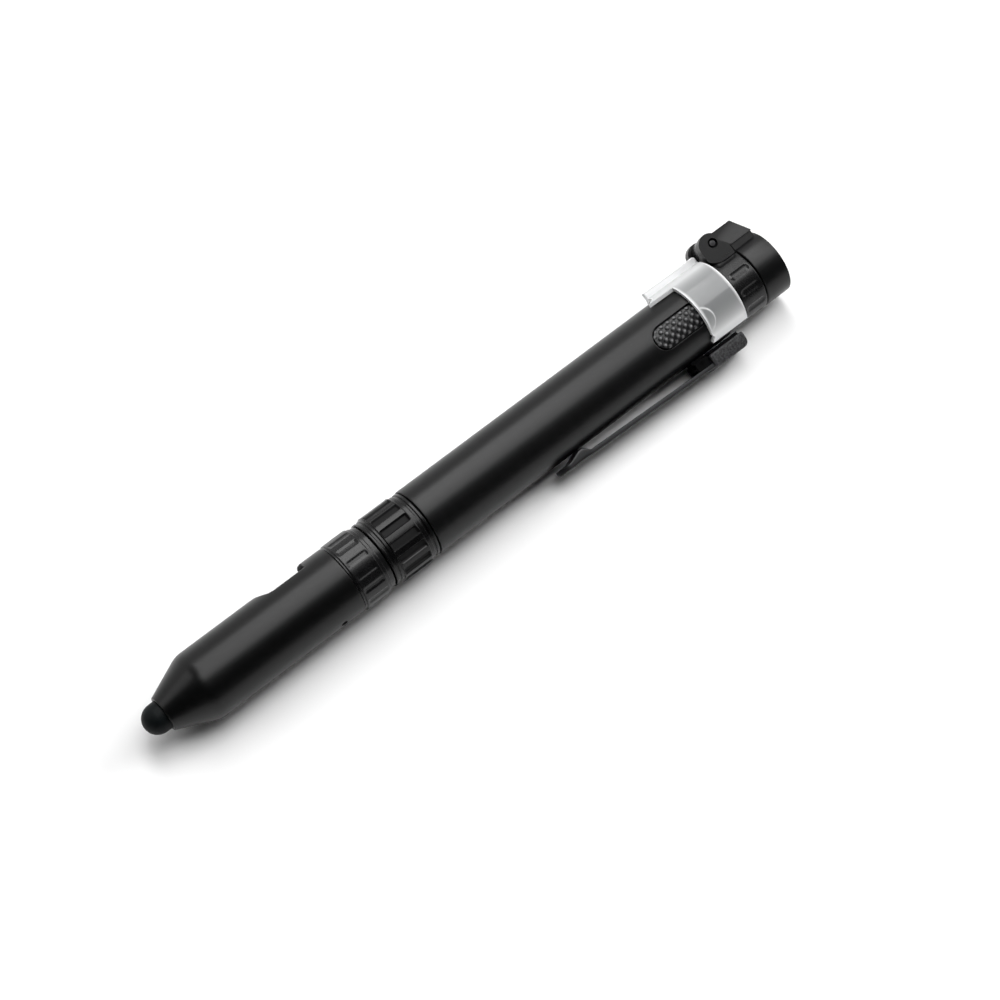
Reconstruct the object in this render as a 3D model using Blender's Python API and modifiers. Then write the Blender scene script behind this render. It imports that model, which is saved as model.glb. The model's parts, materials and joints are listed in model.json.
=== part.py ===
"""Multi tool pen: stylus, bottle opener, ball pen, bit driver and torch with a folding head.

The pen is modelled along its own axes: X from the stylus tip to the torch, Y to the side of the
hinge and of the opener notch, Z to the side of the button. The clip is on the -Y side. A frame
empty rolls the finished pen about X until it lies on its barrel and on the clip, as on a desk,
and moves it so that the origin is at the middle of the bottom of its box.
"""

import math

import bmesh
import bpy
from mathutils import Matrix, Vector

# Units and fits
MM = 0.001
SEAM = 0.25 * MM            # open joint between neighbouring outer pieces
SLIP_FIT = 0.1 * MM         # radial clearance of a piece that slides or screws into another
REST_GAP = 0.15 * MM        # clearance between faces that rest on each other
RUNNING_FIT = 0.05 * MM     # radial clearance of a pin in its hole
OVERRUN = 2.0 * MM          # how far a cutter reaches past what it cuts
OVERLAP = 0.2 * MM          # how far joined solids reach into each other
MERGE_DISTANCE = 0.001 * MM

# Facets round a circle
BODY_SIDES = 32
RING_SIDES = 30
INNER_SIDES = 24
SMALL_SIDES = 16
HEXAGON = 6
SHARP_ANGLE = math.radians(30.0)

# Barrel and bores
BODY_RADIUS = 7.0 * MM
BARREL_WALL = 1.0 * MM
EDGE_CHAMFER = 0.2 * MM

# Rubber stylus tip
DOME_RADIUS = 2.94 * MM
STYLUS_PROTRUSION = 4.17 * MM
STYLUS_SHANK = 2.9 * MM
STYLUS_WALL = 1.0 * MM
STYLUS_FLANGE = 1.8 * MM
STYLUS_TAIL_RADIUS = 2.1 * MM
STYLUS_TAIL = 3.5 * MM
DOME_STEPS = 6

# Front cap
RIM_WALL = 0.5 * MM
CONE_LENGTH = 7.88 * MM
CONE_SHOULDER = 0.6 * MM
CAP_TUBE_LENGTH = 32.85 * MM
CAP_WALL = 2.5 * MM
CAP_WEB = 1.95 * MM
CAP_SLEEVE_WALL = 0.8 * MM
CAP_THREAD_LENGTH = 5.75 * MM

# Opener notch, its stud and the vent hole opposite
NOTCH_SETBACK = 15.2 * MM   # from the ring back to the start of the ramp
NOTCH_RAMP = 2.7 * MM
NOTCH_FLAT = 7.85 * MM
NOTCH_DEPTH = 1.08 * MM
STUD_RADIUS = 0.95 * MM
STUD_LENGTH = 2.0 * MM
VENT_RADIUS = 0.65 * MM
VENT_SETBACK = 1.0 * MM     # from the stud towards the tip
VENT_TURN = math.radians(18.0)

# Grip rings: widths along the pen and how far each band stands off the barrel's radius
RING_WALL = 0.75 * MM
PAD_COUNT = 15
CAP_RING_TURN = math.radians(8.75)       # of the first hollow, from the button side to the hinge side
COUPLING_RING_TURN = math.radians(12.0)
PAD_RISE = 0.13 * MM
FLANGE_DROP = 0.15 * MM
GROOVE_DROP = 0.4 * MM
FLUTE_WIDTH = 1.25 * MM
CAP_RING_FLANGE = 0.45 * MM
CAP_RING_PADS = 5.15 * MM
CAP_RING_REAR_FLANGE = 0.7 * MM
CAP_RING_GROOVE = 0.95 * MM
COUPLING_LIP = 0.5 * MM
COUPLING_FRONT_GROOVE = 0.6 * MM
COUPLING_FRONT_FLANGE = 0.6 * MM
COUPLING_PADS = 6.4 * MM
COUPLING_REAR_FLANGE = 0.9 * MM
COUPLING_REAR_GROOVE = 0.5 * MM
COUPLING_REAR_LIP = 0.6 * MM

# Coupling and ball pen
COUPLING_THREAD_LENGTH = 5.6 * MM
STUB_LENGTH = 3.8 * MM
REAR_THREAD_LENGTH = 7.2 * MM
NOSE_CLEARANCE = 0.4 * MM
NOSE_WALL = 1.0 * MM
NOSE_TAPER = 9.0 * MM
NOSE_MOUTH_WALL = 0.65 * MM
NOSE_MOUTH_DEPTH = 2.1 * MM
REFILL_RADIUS = 1.5 * MM
REFILL_WALL = 0.35 * MM
REFILL_DEPTH = 3.5 * MM     # how far the refill reaches into the coupling past its front face
POINT_CLEARANCE = 2.0 * MM
POINT_REACH = 2.4 * MM
POINT_RADIUS = 0.5 * MM
POINT_LENGTH = 7.0 * MM
POINT_TAIL = 2.0 * MM
PLUG_LENGTH = 1.3 * MM
PLUG_FLANGE = 0.5 * MM
ORING_RADIUS = 0.28 * MM
ORING_GROOVE_DEPTH = 0.55 * MM
ORING_GROOVE_WIDTH = 1.0 * MM
ORING_SIDES = 6

# Driver bit and its magnet
BIT_FLATS = 4.0 * MM
BIT_LENGTH = 25.0 * MM
BIT_POINT = 3.6 * MM
BIT_POINT_RADIUS = 0.6 * MM
BIT_NECK_RADIUS = 1.6 * MM
BIT_SHOULDER = 1.0 * MM
BLADE_THICKNESS = 0.8 * MM
BLADE_LENGTH = 2.4 * MM
SOCKET_DEPTH = 8.0 * MM
MAGNET_RADIUS = 1.95 * MM
MAGNET_LENGTH = 1.4 * MM
BIT_WITHDRAWAL = 9.35 * MM  # free room behind the bit

# Torch supply
PARTITION_THICKNESS = 1.6 * MM
SPRING_LENGTH = 2.6 * MM
SPRING_TURNS = 2.5
SPRING_WIRE_RADIUS = 0.2 * MM
SPRING_LARGE_RADIUS = 4.2 * MM
SPRING_SMALL_RADIUS = 2.0 * MM
SPRING_POINTS_PER_TURN = 10
CELL_COUNT = 3
CELL_LENGTH = 5.4 * MM
CELL_CLEARANCE = 0.2 * MM
CELL_GAP = 0.1 * MM
CELL_CROWN = 0.3 * MM
CELL_CROWN_SHARE = 0.8      # of the cell's radius
CONTACT_THICKNESS = 0.3 * MM

# Switch
BUTTON_LENGTH = 12.4 * MM
BUTTON_HALF_WIDTH = 2.6 * MM
BUTTON_GAP = 0.12 * MM
BUTTON_FLANGE = 0.6 * MM
BUTTON_FLANGE_THICKNESS = 0.6 * MM
BUTTON_RECESS = 0.15 * MM
BUTTON_TRAVEL = 0.75 * MM
STEM_RADIUS = 0.9 * MM
STEM_ENGAGEMENT = 0.275 * MM # of the stem in the switch while it is not pressed
PRESS_MARGIN = 0.425 * MM    # left under the button's flange when it is pressed
SWITCH_HALF_SIDE = 3.0 * MM
SWITCH_HEIGHT = 1.9 * MM
BOARD_THICKNESS = 1.0 * MM
BOARD_SIDE_DROP = 1.8 * MM   # from the bore to the board's long edges
BAY_MARGIN = 1.35 * MM      # from the contact plate to the button slot
CORNER_STEPS = 8

# Clip, measured outwards from the barrel where it is radial
CLIP_HALF_WIDTH = 2.5 * MM
CLIP_PIVOT_SETBACK = 12.5 * MM
CLIP_PIVOT_LIFT = 1.15 * MM
CLIP_REACH = 35.8 * MM      # from the pivot to the tip of the clip
BLADE_FRONT_LIFT = 1.5 * MM
BLADE_REAR_LIFT = 2.25 * MM
CLIP_THICKNESS = 0.8 * MM
BUMP_SETBACK = 5.4 * MM     # from the tip to the point of contact
BUMP_RAMP = 2.7 * MM
BUMP_BACK = 2.2 * MM
BUMP_FLAT = 1.0 * MM
CONTACT_GAP = 0.1 * MM
TIP_LIFT = 1.2 * MM
PAD_AHEAD = 1.75 * MM       # from the pivot to the thumb pad
THUMB_PAD_LENGTH = 8.4 * MM
THUMB_PAD_LIFT = 0.65 * MM
THUMB_PAD_THICKNESS = 2.89 * MM
THUMB_PAD_HALF_WIDTH = 3.25 * MM
THUMB_PAD_ROUND = 0.6 * MM
THUMB_PAD_CORNER = 1.5 * MM # in plan
LUG_HALF_LENGTH = 1.6 * MM
LUG_THICKNESS = 0.85 * MM
LUG_LIFT = 0.5 * MM
POST_HALF_LENGTH = 1.5 * MM
POST_HALF_WIDTH = 1.4 * MM
POST_TOP_LIFT = 1.8 * MM
POST_FOOT_HALF_LENGTH = 3.2 * MM
POST_FOOT_HALF_WIDTH = 2.4 * MM
POST_FOOT_THICKNESS = 0.5 * MM
CLIP_PIN_RADIUS = 0.45 * MM
LEAF_THICKNESS = 0.2 * MM
LEAF_HALF_WIDTH = 1.4 * MM
LEAF_LENGTH = 5.0 * MM
LEAF_RISE = 0.45 * MM
RELIEF_DEPTH = 0.8 * MM

# Neck collar and torch head
NECK_SPIGOT_LENGTH = 6.35 * MM
NECK_LENGTH = 5.65 * MM
NECK_DROP = 0.26 * MM
NECK_SPIGOT_WALL = 1.7 * MM
NECK_WALL = 1.7 * MM
NECK_WEB = 0.35 * MM
NECK_FLUTE_LENGTH = 4.2 * MM
NECK_FLUTE_WIDTH = 1.5 * MM
NECK_FLUTE_DEPTH = 0.25 * MM
NECK_FLUTES = 10
NECK_FLUTE_TURN = math.radians(16.5)
PIN_RADIUS = 0.8 * MM
PIN_SETBACK = 2.6 * MM      # from the fold seam back to the pin
PIN_LIFT = 2.0 * MM         # outside the barrel's radius
KNUCKLE_HALF_WIDTH = 2.5 * MM
KNUCKLE_RADIUS = 2.1 * MM
EAR_THICKNESS = 1.8 * MM
EAR_RADIUS = 2.3 * MM
EAR_LENGTH = 2.55 * MM      # from the pin to the square end of the ear
EAR_FOOT = 3.3 * MM         # from the pin down to the ear's lower edge
EAR_CHAMFER = 0.3 * MM
BLOCK_TOP_LIFT = 1.65 * MM  # above the pin
BLOCK_TOP_END = 5.3 * MM    # past the pin
BLOCK_FOOT_DROP = 2.5 * MM  # below the pin
SLOPE_END = 7.7 * MM        # past the pin
SLOPE_FOOT_DROP = 2.15 * MM
SLOT_WALL_SETBACK = 2.6 * MM
HEAD_LENGTH = 5.75 * MM
HEAD_DROP = 0.25 * MM
HEAD_WALL = 1.35 * MM
HEAD_BACK = 0.85 * MM
LED_BOARD_THICKNESS = 0.8 * MM
LED_HALF_SIDE = 0.9 * MM
LED_HEIGHT = 0.5 * MM
REFLECTOR_THROAT_RADIUS = 1.5 * MM
REFLECTOR_MOUTH_WALL = 0.4 * MM
REFLECTOR_STEPS = 4
LENS_THICKNESS = 0.5 * MM
BEZEL_LENGTH = 0.5 * MM
BEZEL_WIDTH = 0.7 * MM

# Plastic guard over the button
GUARD_GAP = 0.2 * MM
GUARD_THICKNESS = 0.75 * MM
GUARD_WIDTH = 9.0 * MM
GUARD_WING_WIDTH = 13.0 * MM
GUARD_START = math.radians(-54.0)    # from the button side towards the hinge side
GUARD_SPAN = math.radians(180.0)
GUARD_WING_START = math.radians(68.0)
GUARD_FIN_HEIGHT = 1.32 * MM
GUARD_FIN_THICKNESS = 1.4 * MM
GUARD_FIN_CORNER = 0.8 * MM
GUARD_STEPS = 24

# Radii that follow from the sizes above
BARREL_BORE = BODY_RADIUS - BARREL_WALL
BOARD_HALF_WIDTH = BARREL_BORE - BOARD_SIDE_DROP
SPIGOT_RADIUS = BARREL_BORE - SLIP_FIT
RING_BORE = BODY_RADIUS - RING_WALL
RING_SEAT = RING_BORE - SLIP_FIT
PAD_RADIUS = BODY_RADIUS + PAD_RISE
FLANGE_RADIUS = BODY_RADIUS - FLANGE_DROP
GROOVE_RADIUS = BODY_RADIUS - GROOVE_DROP
CAP_BORE = BODY_RADIUS - CAP_WALL
CAP_THREAD_BORE = RING_SEAT - CAP_SLEEVE_WALL
COUPLING_THREAD_RADIUS = CAP_THREAD_BORE - SLIP_FIT
STYLUS_BORE = DOME_RADIUS + SLIP_FIT
TAIL_BORE = STYLUS_TAIL_RADIUS + SLIP_FIT
RIM_RADIUS = STYLUS_BORE + RIM_WALL
NOSE_RADIUS = CAP_BORE - NOSE_CLEARANCE
STUB_RADIUS = NOSE_RADIUS - NOSE_WALL - SLIP_FIT
REFILL_BORE = REFILL_RADIUS + SLIP_FIT
MAGNET_BORE = MAGNET_RADIUS + SLIP_FIT
NECK_RADIUS = BODY_RADIUS - NECK_DROP
NECK_BORE_RADIUS = SPIGOT_RADIUS - NECK_SPIGOT_WALL
HEAD_RADIUS = BODY_RADIUS - HEAD_DROP
HEAD_BORE = HEAD_RADIUS - HEAD_WALL
INSERT_RADIUS = HEAD_BORE - SLIP_FIT
GUARD_INNER = BODY_RADIUS + GUARD_GAP
GUARD_OUTER = GUARD_INNER + GUARD_THICKNESS

# Places along the pen, from the tip to the head
RIM_X = STYLUS_PROTRUSION
CONE_END_X = RIM_X + CONE_LENGTH
CAVITY_X = CONE_END_X + CAP_WEB
CAP_SHOULDER_X = CONE_END_X + CAP_TUBE_LENGTH
CAP_RING_X = CAP_SHOULDER_X + SLIP_FIT
CAP_REAR_X = CAP_RING_X + CAP_RING_FLANGE + CAP_RING_PADS + CAP_RING_REAR_FLANGE + CAP_RING_GROOVE
COUPLING_X = CAP_REAR_X + SEAM
COUPLING_RING_LENGTH = (COUPLING_LIP + COUPLING_FRONT_GROOVE + COUPLING_FRONT_FLANGE + COUPLING_PADS
                        + COUPLING_REAR_FLANGE + COUPLING_REAR_GROOVE + COUPLING_REAR_LIP)
COUPLING_REAR_X = COUPLING_X + COUPLING_RING_LENGTH
BARREL_X = COUPLING_REAR_X + SEAM
SOCKET_MOUTH_X = COUPLING_REAR_X + REAR_THREAD_LENGTH
SOCKET_FLOOR_X = SOCKET_MOUTH_X - SOCKET_DEPTH
BIT_X = SOCKET_FLOOR_X + SLIP_FIT
BIT_END_X = BIT_X + BIT_LENGTH
PARTITION_X = BIT_END_X + BIT_WITHDRAWAL
SPRING_X = PARTITION_X + PARTITION_THICKNESS + REST_GAP
CELLS_X = SPRING_X + SPRING_LENGTH + REST_GAP
CONTACT_X = CELLS_X + CELL_COUNT * (CELL_LENGTH + CELL_GAP)
CARRIER_X = CONTACT_X + CONTACT_THICKNESS + REST_GAP
BUTTON_X = CONTACT_X + CONTACT_THICKNESS + BAY_MARGIN
BUTTON_END_X = BUTTON_X + BUTTON_LENGTH
BUTTON_MID_X = (BUTTON_X + BUTTON_END_X) / 2
SPIGOT_X = BUTTON_END_X + BUTTON_FLANGE + REST_GAP
CARRIER_END_X = SPIGOT_X - REST_GAP
BARREL_END_X = SPIGOT_X + NECK_SPIGOT_LENGTH
NECK_X = BARREL_END_X + SEAM
NECK_END_X = NECK_X + NECK_LENGTH
HEAD_X = NECK_END_X + SEAM
HEAD_END_X = HEAD_X + HEAD_LENGTH
PIN_X = NECK_END_X - PIN_SETBACK
PIN_Y = BODY_RADIUS + PIN_LIFT
CLIP_PIVOT_X = BARREL_END_X - CLIP_PIVOT_SETBACK
CLIP_PIVOT_Y = -BODY_RADIUS - CLIP_PIVOT_LIFT
STUD_X = CAP_SHOULDER_X - NOTCH_SETBACK + NOTCH_RAMP + NOTCH_FLAT
GUARD_END_X = BARREL_END_X + SEAM / 2

# Turned and extruded shapes are drawn in their own XY plane and stood up along the pen with this
ALONG_PEN = (math.pi / 2, 0, math.pi / 2)
UPRIGHT = (0, 0, 0)
TOWARDS_HINGE = (-math.pi / 2, 0, 0)
IN_PLAN = (math.pi / 2, 0, 0)

# Looks: colour, roughness, metallic value
ANODISED = ((0.012, 0.012, 0.013), 0.42, 0.6)
ANODISED_GLOSS = ((0.012, 0.012, 0.014), 0.3, 0.7)
BLACK_STEEL = ((0.02, 0.02, 0.02), 0.35, 0.8)
BLACK_RUBBER = ((0.015, 0.02, 0.022), 0.7, 0.0)
STEEL = ((0.55, 0.55, 0.56), 0.3, 1.0)
BRASS = ((0.7, 0.5, 0.2), 0.3, 1.0)
GREY_PLASTIC = ((0.35, 0.35, 0.36), 0.5, 0.0)
BOARD_GREEN = ((0.02, 0.16, 0.06), 0.5, 0.0)
CLEAR_PLASTIC = ((0.8, 0.82, 0.83), 0.25, 0.0)
MIRROR = ((0.85, 0.85, 0.86), 0.1, 1.0)
LED_YELLOW = ((0.9, 0.8, 0.3), 0.4, 0.0)


# Collections, frames and materials

def clear_scene():
    for item in list(bpy.data.objects):
        bpy.data.objects.remove(item, do_unlink=True)


def new_collection(name):
    group = bpy.data.collections.new(name)
    bpy.context.scene.collection.children.link(group)
    return group


clear_scene()
PARTS = new_collection("multi_tool_pen")
CUTTERS = new_collection("cutters")


def new_frame(name, place=(0, 0, 0), parent=None):
    frame = bpy.data.objects.new(name, None)
    PARTS.objects.link(frame)
    frame.location = place
    frame.parent = parent
    return frame


PEN = new_frame("pen_frame")
HEAD_HINGE = new_frame("head_hinge", (PIN_X, PIN_Y, 0), PEN)
CLIP_HINGE = new_frame("clip_hinge", (CLIP_PIVOT_X, CLIP_PIVOT_Y, 0), PEN)


def attach(item, frame):
    """Hang an item that is placed in pen coordinates on one of the frames."""
    item.parent = frame
    offset = Vector() if frame is PEN else frame.location
    item.matrix_parent_inverse = Matrix.Translation(-offset)


def make_material(name, look):
    colour, roughness, metallic = look
    surface = bpy.data.materials.new(name)
    surface.use_nodes = True
    shader = surface.node_tree.nodes["Principled BSDF"]
    shader.inputs["Base Color"].default_value = (*colour, 1.0)
    shader.inputs["Roughness"].default_value = roughness
    shader.inputs["Metallic"].default_value = metallic
    return surface


def new_item(name, mesh, look, frame, turn=UPRIGHT, place=(0, 0, 0)):
    """A piece of the pen when it has a look, and otherwise a cutter or a solid to join."""
    item = bpy.data.objects.new(name, mesh)
    item.rotation_euler = turn
    item.location = place
    if look is None:
        CUTTERS.objects.link(item)
        item.hide_render = True
        item.display_type = "WIRE"
    else:
        PARTS.objects.link(item)
        mesh.materials.append(make_material(name, look))
        mesh.shade_smooth()
        mesh.set_sharp_from_angle(angle=SHARP_ANGLE)
    attach(item, frame)
    return item


# Shapes

def turned(name, profile, look=None, frame=PEN, sides=INNER_SIDES, turn=ALONG_PEN, place=(0, 0, 0)):
    """Turn a profile of (along, radius) points that runs down the outer side and up the bore."""
    mesh = bpy.data.meshes.new(name)
    form = bmesh.new()
    corners = [form.verts.new((radius, 0, along)) for along, radius in profile]
    for start, end in zip(corners, corners[1:]):
        form.edges.new((start, end))
    if profile[0][1] > 0 and profile[-1][1] > 0:
        form.edges.new((corners[-1], corners[0]))
    form.to_mesh(mesh)
    form.free()
    item = new_item(name, mesh, look, frame, turn, place)
    screw = item.modifiers.new("Turn", "SCREW")
    screw.axis = "Z"
    screw.steps = sides
    screw.render_steps = sides
    screw.use_merge_vertices = True
    screw.merge_threshold = MERGE_DISTANCE
    return item


def sleeve(outer, inner):
    """Profile of a tube, or of a cup open at its tip end, from outlines written from tip to head."""
    return list(reversed(outer)) + list(inner)


def cup(outer, inner):
    """Profile of a cup that is open at its head end, from outlines written from tip to head."""
    return list(inner) + list(reversed(outer))


def spindle(outer):
    """Profile of a solid bar from its outline, written from tip to head."""
    return [(outer[-1][0], 0)] + list(reversed(outer)) + [(outer[0][0], 0)]


def bands(start, widths_and_radii):
    """Stepped outline of neighbouring bands, from tip to head."""
    outline = []
    for width, radius in widths_and_radii:
        outline += [(start, radius), (start + width, radius)]
        start += width
    return outline


def plate(name, outline, half_thickness, look=None, frame=PEN, turn=UPRIGHT, place=(0, 0, 0)):
    """Extrude a flat outline to both sides of its plane."""
    curve = bpy.data.curves.new(name, "CURVE")
    curve.dimensions = "2D"
    curve.fill_mode = "BOTH"
    curve.extrude = half_thickness
    spline = curve.splines.new("POLY")
    spline.points.add(len(outline) - 1)
    for point, (across, up) in zip(spline.points, outline):
        point.co = (across, up, 0, 1)
    spline.use_cyclic_u = True
    draft = bpy.data.objects.new(name + "_outline", curve)
    CUTTERS.objects.link(draft)
    graph = bpy.context.evaluated_depsgraph_get()
    mesh = bpy.data.meshes.new_from_object(draft.evaluated_get(graph))
    bpy.data.objects.remove(draft)
    form = bmesh.new()
    form.from_mesh(mesh)
    bmesh.ops.remove_doubles(form, verts=form.verts, dist=MERGE_DISTANCE)
    bmesh.ops.recalc_face_normals(form, faces=form.faces)
    form.to_mesh(mesh)
    form.free()
    mesh.name = name
    return new_item(name, mesh, look, frame, turn, place)


def box(name, low, high, look=None, frame=PEN):
    mesh = bpy.data.meshes.new(name)
    form = bmesh.new()
    middle = (Vector(low) + Vector(high)) / 2
    sizes = Vector(high) - Vector(low)
    bmesh.ops.create_cube(form, size=1, matrix=Matrix.Translation(middle) @ Matrix.Diagonal((*sizes, 1)))
    form.to_mesh(mesh)
    form.free()
    return new_item(name, mesh, look, frame)


def rod(name, radius, start, end, look=None, frame=PEN, sides=SMALL_SIDES):
    """A round bar between two points; the radius reaches the middle of its flats."""
    mesh = bpy.data.meshes.new(name)
    form = bmesh.new()
    axis = Vector(end) - Vector(start)
    stand = Vector((0, 0, 1)).rotation_difference(axis).to_matrix().to_4x4()
    corner_radius = radius / math.cos(math.pi / sides)
    bmesh.ops.create_cone(form, cap_ends=True, segments=sides, radius1=corner_radius,
                          radius2=corner_radius, depth=axis.length,
                          matrix=Matrix.Translation((Vector(start) + Vector(end)) / 2) @ stand)
    form.to_mesh(mesh)
    form.free()
    return new_item(name, mesh, look, frame)


def arc(centre, radius, start, end, steps):
    """Points on a circle between two angles."""
    angles = [start + (end - start) * step / steps for step in range(steps + 1)]
    return [(centre[0] + radius * math.cos(a), centre[1] + radius * math.sin(a)) for a in angles]


def obround(start, end, half_width):
    """Outline with two straight sides and round ends."""
    rear = arc((end - half_width, 0), half_width, -math.pi / 2, math.pi / 2, CORNER_STEPS)
    front = arc((start + half_width, 0), half_width, math.pi / 2, 3 * math.pi / 2, CORNER_STEPS)
    return rear + front


def combine(item, other, operation):
    change = item.modifiers.new(other.name, "BOOLEAN")
    change.operation = operation
    change.object = other
    change.solver = "EXACT"


def cut(item, cutter):
    combine(item, cutter, "DIFFERENCE")


def join(item, other):
    combine(item, other, "UNION")


def flutes(name, count, first_angle, start, length, width, floor_radius, skip=lambda angle: False):
    """One cutter of separate bars that lie round the pen, for the hollows between raised pads."""
    mesh = bpy.data.meshes.new(name)
    form = bmesh.new()
    middle = Vector((start + length / 2, 0, floor_radius + OVERRUN / 2))
    for index in range(count):
        angle = first_angle + index * 2 * math.pi / count
        if skip(angle):
            continue
        spread = Matrix.Rotation(-angle, 4, "X") @ Matrix.Translation(middle)
        sizes = Matrix.Diagonal((length, width, OVERRUN, 1))
        bmesh.ops.create_cube(form, size=1, matrix=spread @ sizes)
    form.to_mesh(mesh)
    form.free()
    return new_item(name, mesh, None, PEN)


# Front cap with the stylus tip and the opener

def make_stylus():
    """Hollow rubber dome and the plug that holds it; returns where the plug's seat ends."""
    angles = [math.pi / 2 * step / DOME_STEPS for step in range(DOME_STEPS + 1)]
    dome = [(DOME_RADIUS * (1 - math.cos(a)), DOME_RADIUS * math.sin(a)) for a in angles]
    dome[0] = (0, 0)
    core = DOME_RADIUS - STYLUS_WALL
    bore_x = DOME_RADIUS - core / 2
    shank_x = RIM_X + STYLUS_SHANK
    bore = [(bore_x, 0), (bore_x, core), (shank_x, core)]
    turned("stylus_tip", cup(dome + [(shank_x, DOME_RADIUS)], bore), BLACK_RUBBER)
    nub = core - SLIP_FIT
    flange_x = shank_x + REST_GAP
    tail_x = flange_x + STYLUS_FLANGE
    plug = bands(bore_x + REST_GAP, [(flange_x - bore_x - REST_GAP, nub), (STYLUS_FLANGE, DOME_RADIUS),
                                     (STYLUS_TAIL, STYLUS_TAIL_RADIUS)])
    turned("stylus_holder", spindle(plug), GREY_PLASTIC)
    return tail_x + REST_GAP


def make_front_cap(seat_x):
    """Cone and tube with the stylus seat, the pen's cavity, the opener notch and a vent hole."""
    slope = (BODY_RADIUS - RIM_RADIUS) / (CONE_LENGTH - EDGE_CHAMFER)
    outer = [(RIM_X, RIM_RADIUS - EDGE_CHAMFER), (RIM_X + EDGE_CHAMFER, RIM_RADIUS),
             (CONE_END_X - CONE_SHOULDER, BODY_RADIUS - slope * CONE_SHOULDER),
             (CONE_END_X + CONE_SHOULDER, BODY_RADIUS), (CAP_SHOULDER_X, BODY_RADIUS),
             (CAP_SHOULDER_X, RING_SEAT), (CAP_REAR_X, RING_SEAT)]
    thread_x = CAP_REAR_X - CAP_THREAD_LENGTH
    inner = [(RIM_X, STYLUS_BORE), (seat_x, STYLUS_BORE), (seat_x, TAIL_BORE), (CAVITY_X, TAIL_BORE),
             (CAVITY_X, CAP_BORE), (thread_x, CAP_BORE), (thread_x, CAP_THREAD_BORE),
             (CAP_REAR_X, CAP_THREAD_BORE)]
    cap = turned("front_cap", sleeve(outer, inner), ANODISED, sides=BODY_SIDES)
    floor_y = BODY_RADIUS - NOTCH_DEPTH
    start_x = CAP_SHOULDER_X - NOTCH_SETBACK
    flat_x = start_x + NOTCH_RAMP
    notch = [(start_x, BODY_RADIUS), (flat_x, floor_y), (STUD_X, floor_y), (STUD_X, BODY_RADIUS + OVERRUN),
             (start_x, BODY_RADIUS + OVERRUN)]
    cut(cap, plate("notch_cutter", notch, BODY_RADIUS + OVERRUN))
    top_y = BODY_RADIUS - RUNNING_FIT
    foot_y = top_y - STUD_LENGTH
    cut(cap, rod("stud_hole_cutter", STUD_RADIUS + RUNNING_FIT, (STUD_X, foot_y - REST_GAP, 0),
                 (STUD_X, BODY_RADIUS + OVERRUN, 0)))
    angles = [math.pi / 2 * step / DOME_STEPS for step in range(DOME_STEPS)]
    shank = STUD_LENGTH - STUD_RADIUS
    crown = [(shank + STUD_RADIUS * math.sin(a), STUD_RADIUS * math.cos(a)) for a in angles]
    stud = spindle([(0, STUD_RADIUS)] + crown + [(STUD_LENGTH, 0)])[1:]
    turned("opener_stud", stud, STEEL, sides=SMALL_SIDES, turn=TOWARDS_HINGE, place=(STUD_X, foot_y, 0))
    outwards = Vector((0, -math.cos(VENT_TURN), math.sin(VENT_TURN)))
    along = Vector((STUD_X - VENT_SETBACK, 0, 0))
    cut(cap, rod("vent_cutter", VENT_RADIUS, along + outwards * (CAP_BORE - OVERRUN),
                 along + outwards * (BODY_RADIUS + OVERRUN)))


def make_grip_ring(name, start, widths_and_radii, pads_start, pads_length, first_hollow):
    """A sleeve with raised pads: flutes are cut from a plain band down to the flanges."""
    outer = bands(start, widths_and_radii)
    ring = turned(name, sleeve(outer, [(start, RING_BORE), (outer[-1][0], RING_BORE)]), ANODISED_GLOSS,
                  sides=RING_SIDES)
    cut(ring, flutes(name + "_flutes", PAD_COUNT, first_hollow, pads_start, pads_length, FLUTE_WIDTH,
                     FLANGE_RADIUS))


def make_cap_ring():
    widths_and_radii = [(CAP_RING_FLANGE, FLANGE_RADIUS), (CAP_RING_PADS, PAD_RADIUS),
                        (CAP_RING_REAR_FLANGE, FLANGE_RADIUS), (CAP_RING_GROOVE, GROOVE_RADIUS)]
    make_grip_ring("cap_grip_ring", CAP_RING_X, widths_and_radii, CAP_RING_X + CAP_RING_FLANGE, CAP_RING_PADS,
                   CAP_RING_TURN)


def make_coupling_ring():
    widths_and_radii = [(COUPLING_LIP, FLANGE_RADIUS), (COUPLING_FRONT_GROOVE, GROOVE_RADIUS),
                        (COUPLING_FRONT_FLANGE, FLANGE_RADIUS), (COUPLING_PADS, PAD_RADIUS),
                        (COUPLING_REAR_FLANGE, FLANGE_RADIUS), (COUPLING_REAR_GROOVE, GROOVE_RADIUS),
                        (COUPLING_REAR_LIP, FLANGE_RADIUS)]
    pads_x = COUPLING_X + COUPLING_LIP + COUPLING_FRONT_GROOVE + COUPLING_FRONT_FLANGE
    make_grip_ring("coupling_grip_ring", COUPLING_X, widths_and_radii, pads_x, COUPLING_PADS,
                   COUPLING_RING_TURN)


# Coupling with the ball pen at its front and the bit socket at its rear

def make_oring(name, along, bore):
    """A seal in its groove, just clear of the bore it seals."""
    middle_radius = bore - RUNNING_FIT - ORING_RADIUS
    bpy.ops.mesh.primitive_torus_add(major_segments=INNER_SIDES, minor_segments=ORING_SIDES,
                                     major_radius=middle_radius, minor_radius=ORING_RADIUS)
    ring = bpy.context.object
    mesh = ring.data
    bpy.data.objects.remove(ring)
    mesh.name = name
    new_item(name, mesh, BLACK_RUBBER, PEN, ALONG_PEN, (along, 0, 0))


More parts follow.
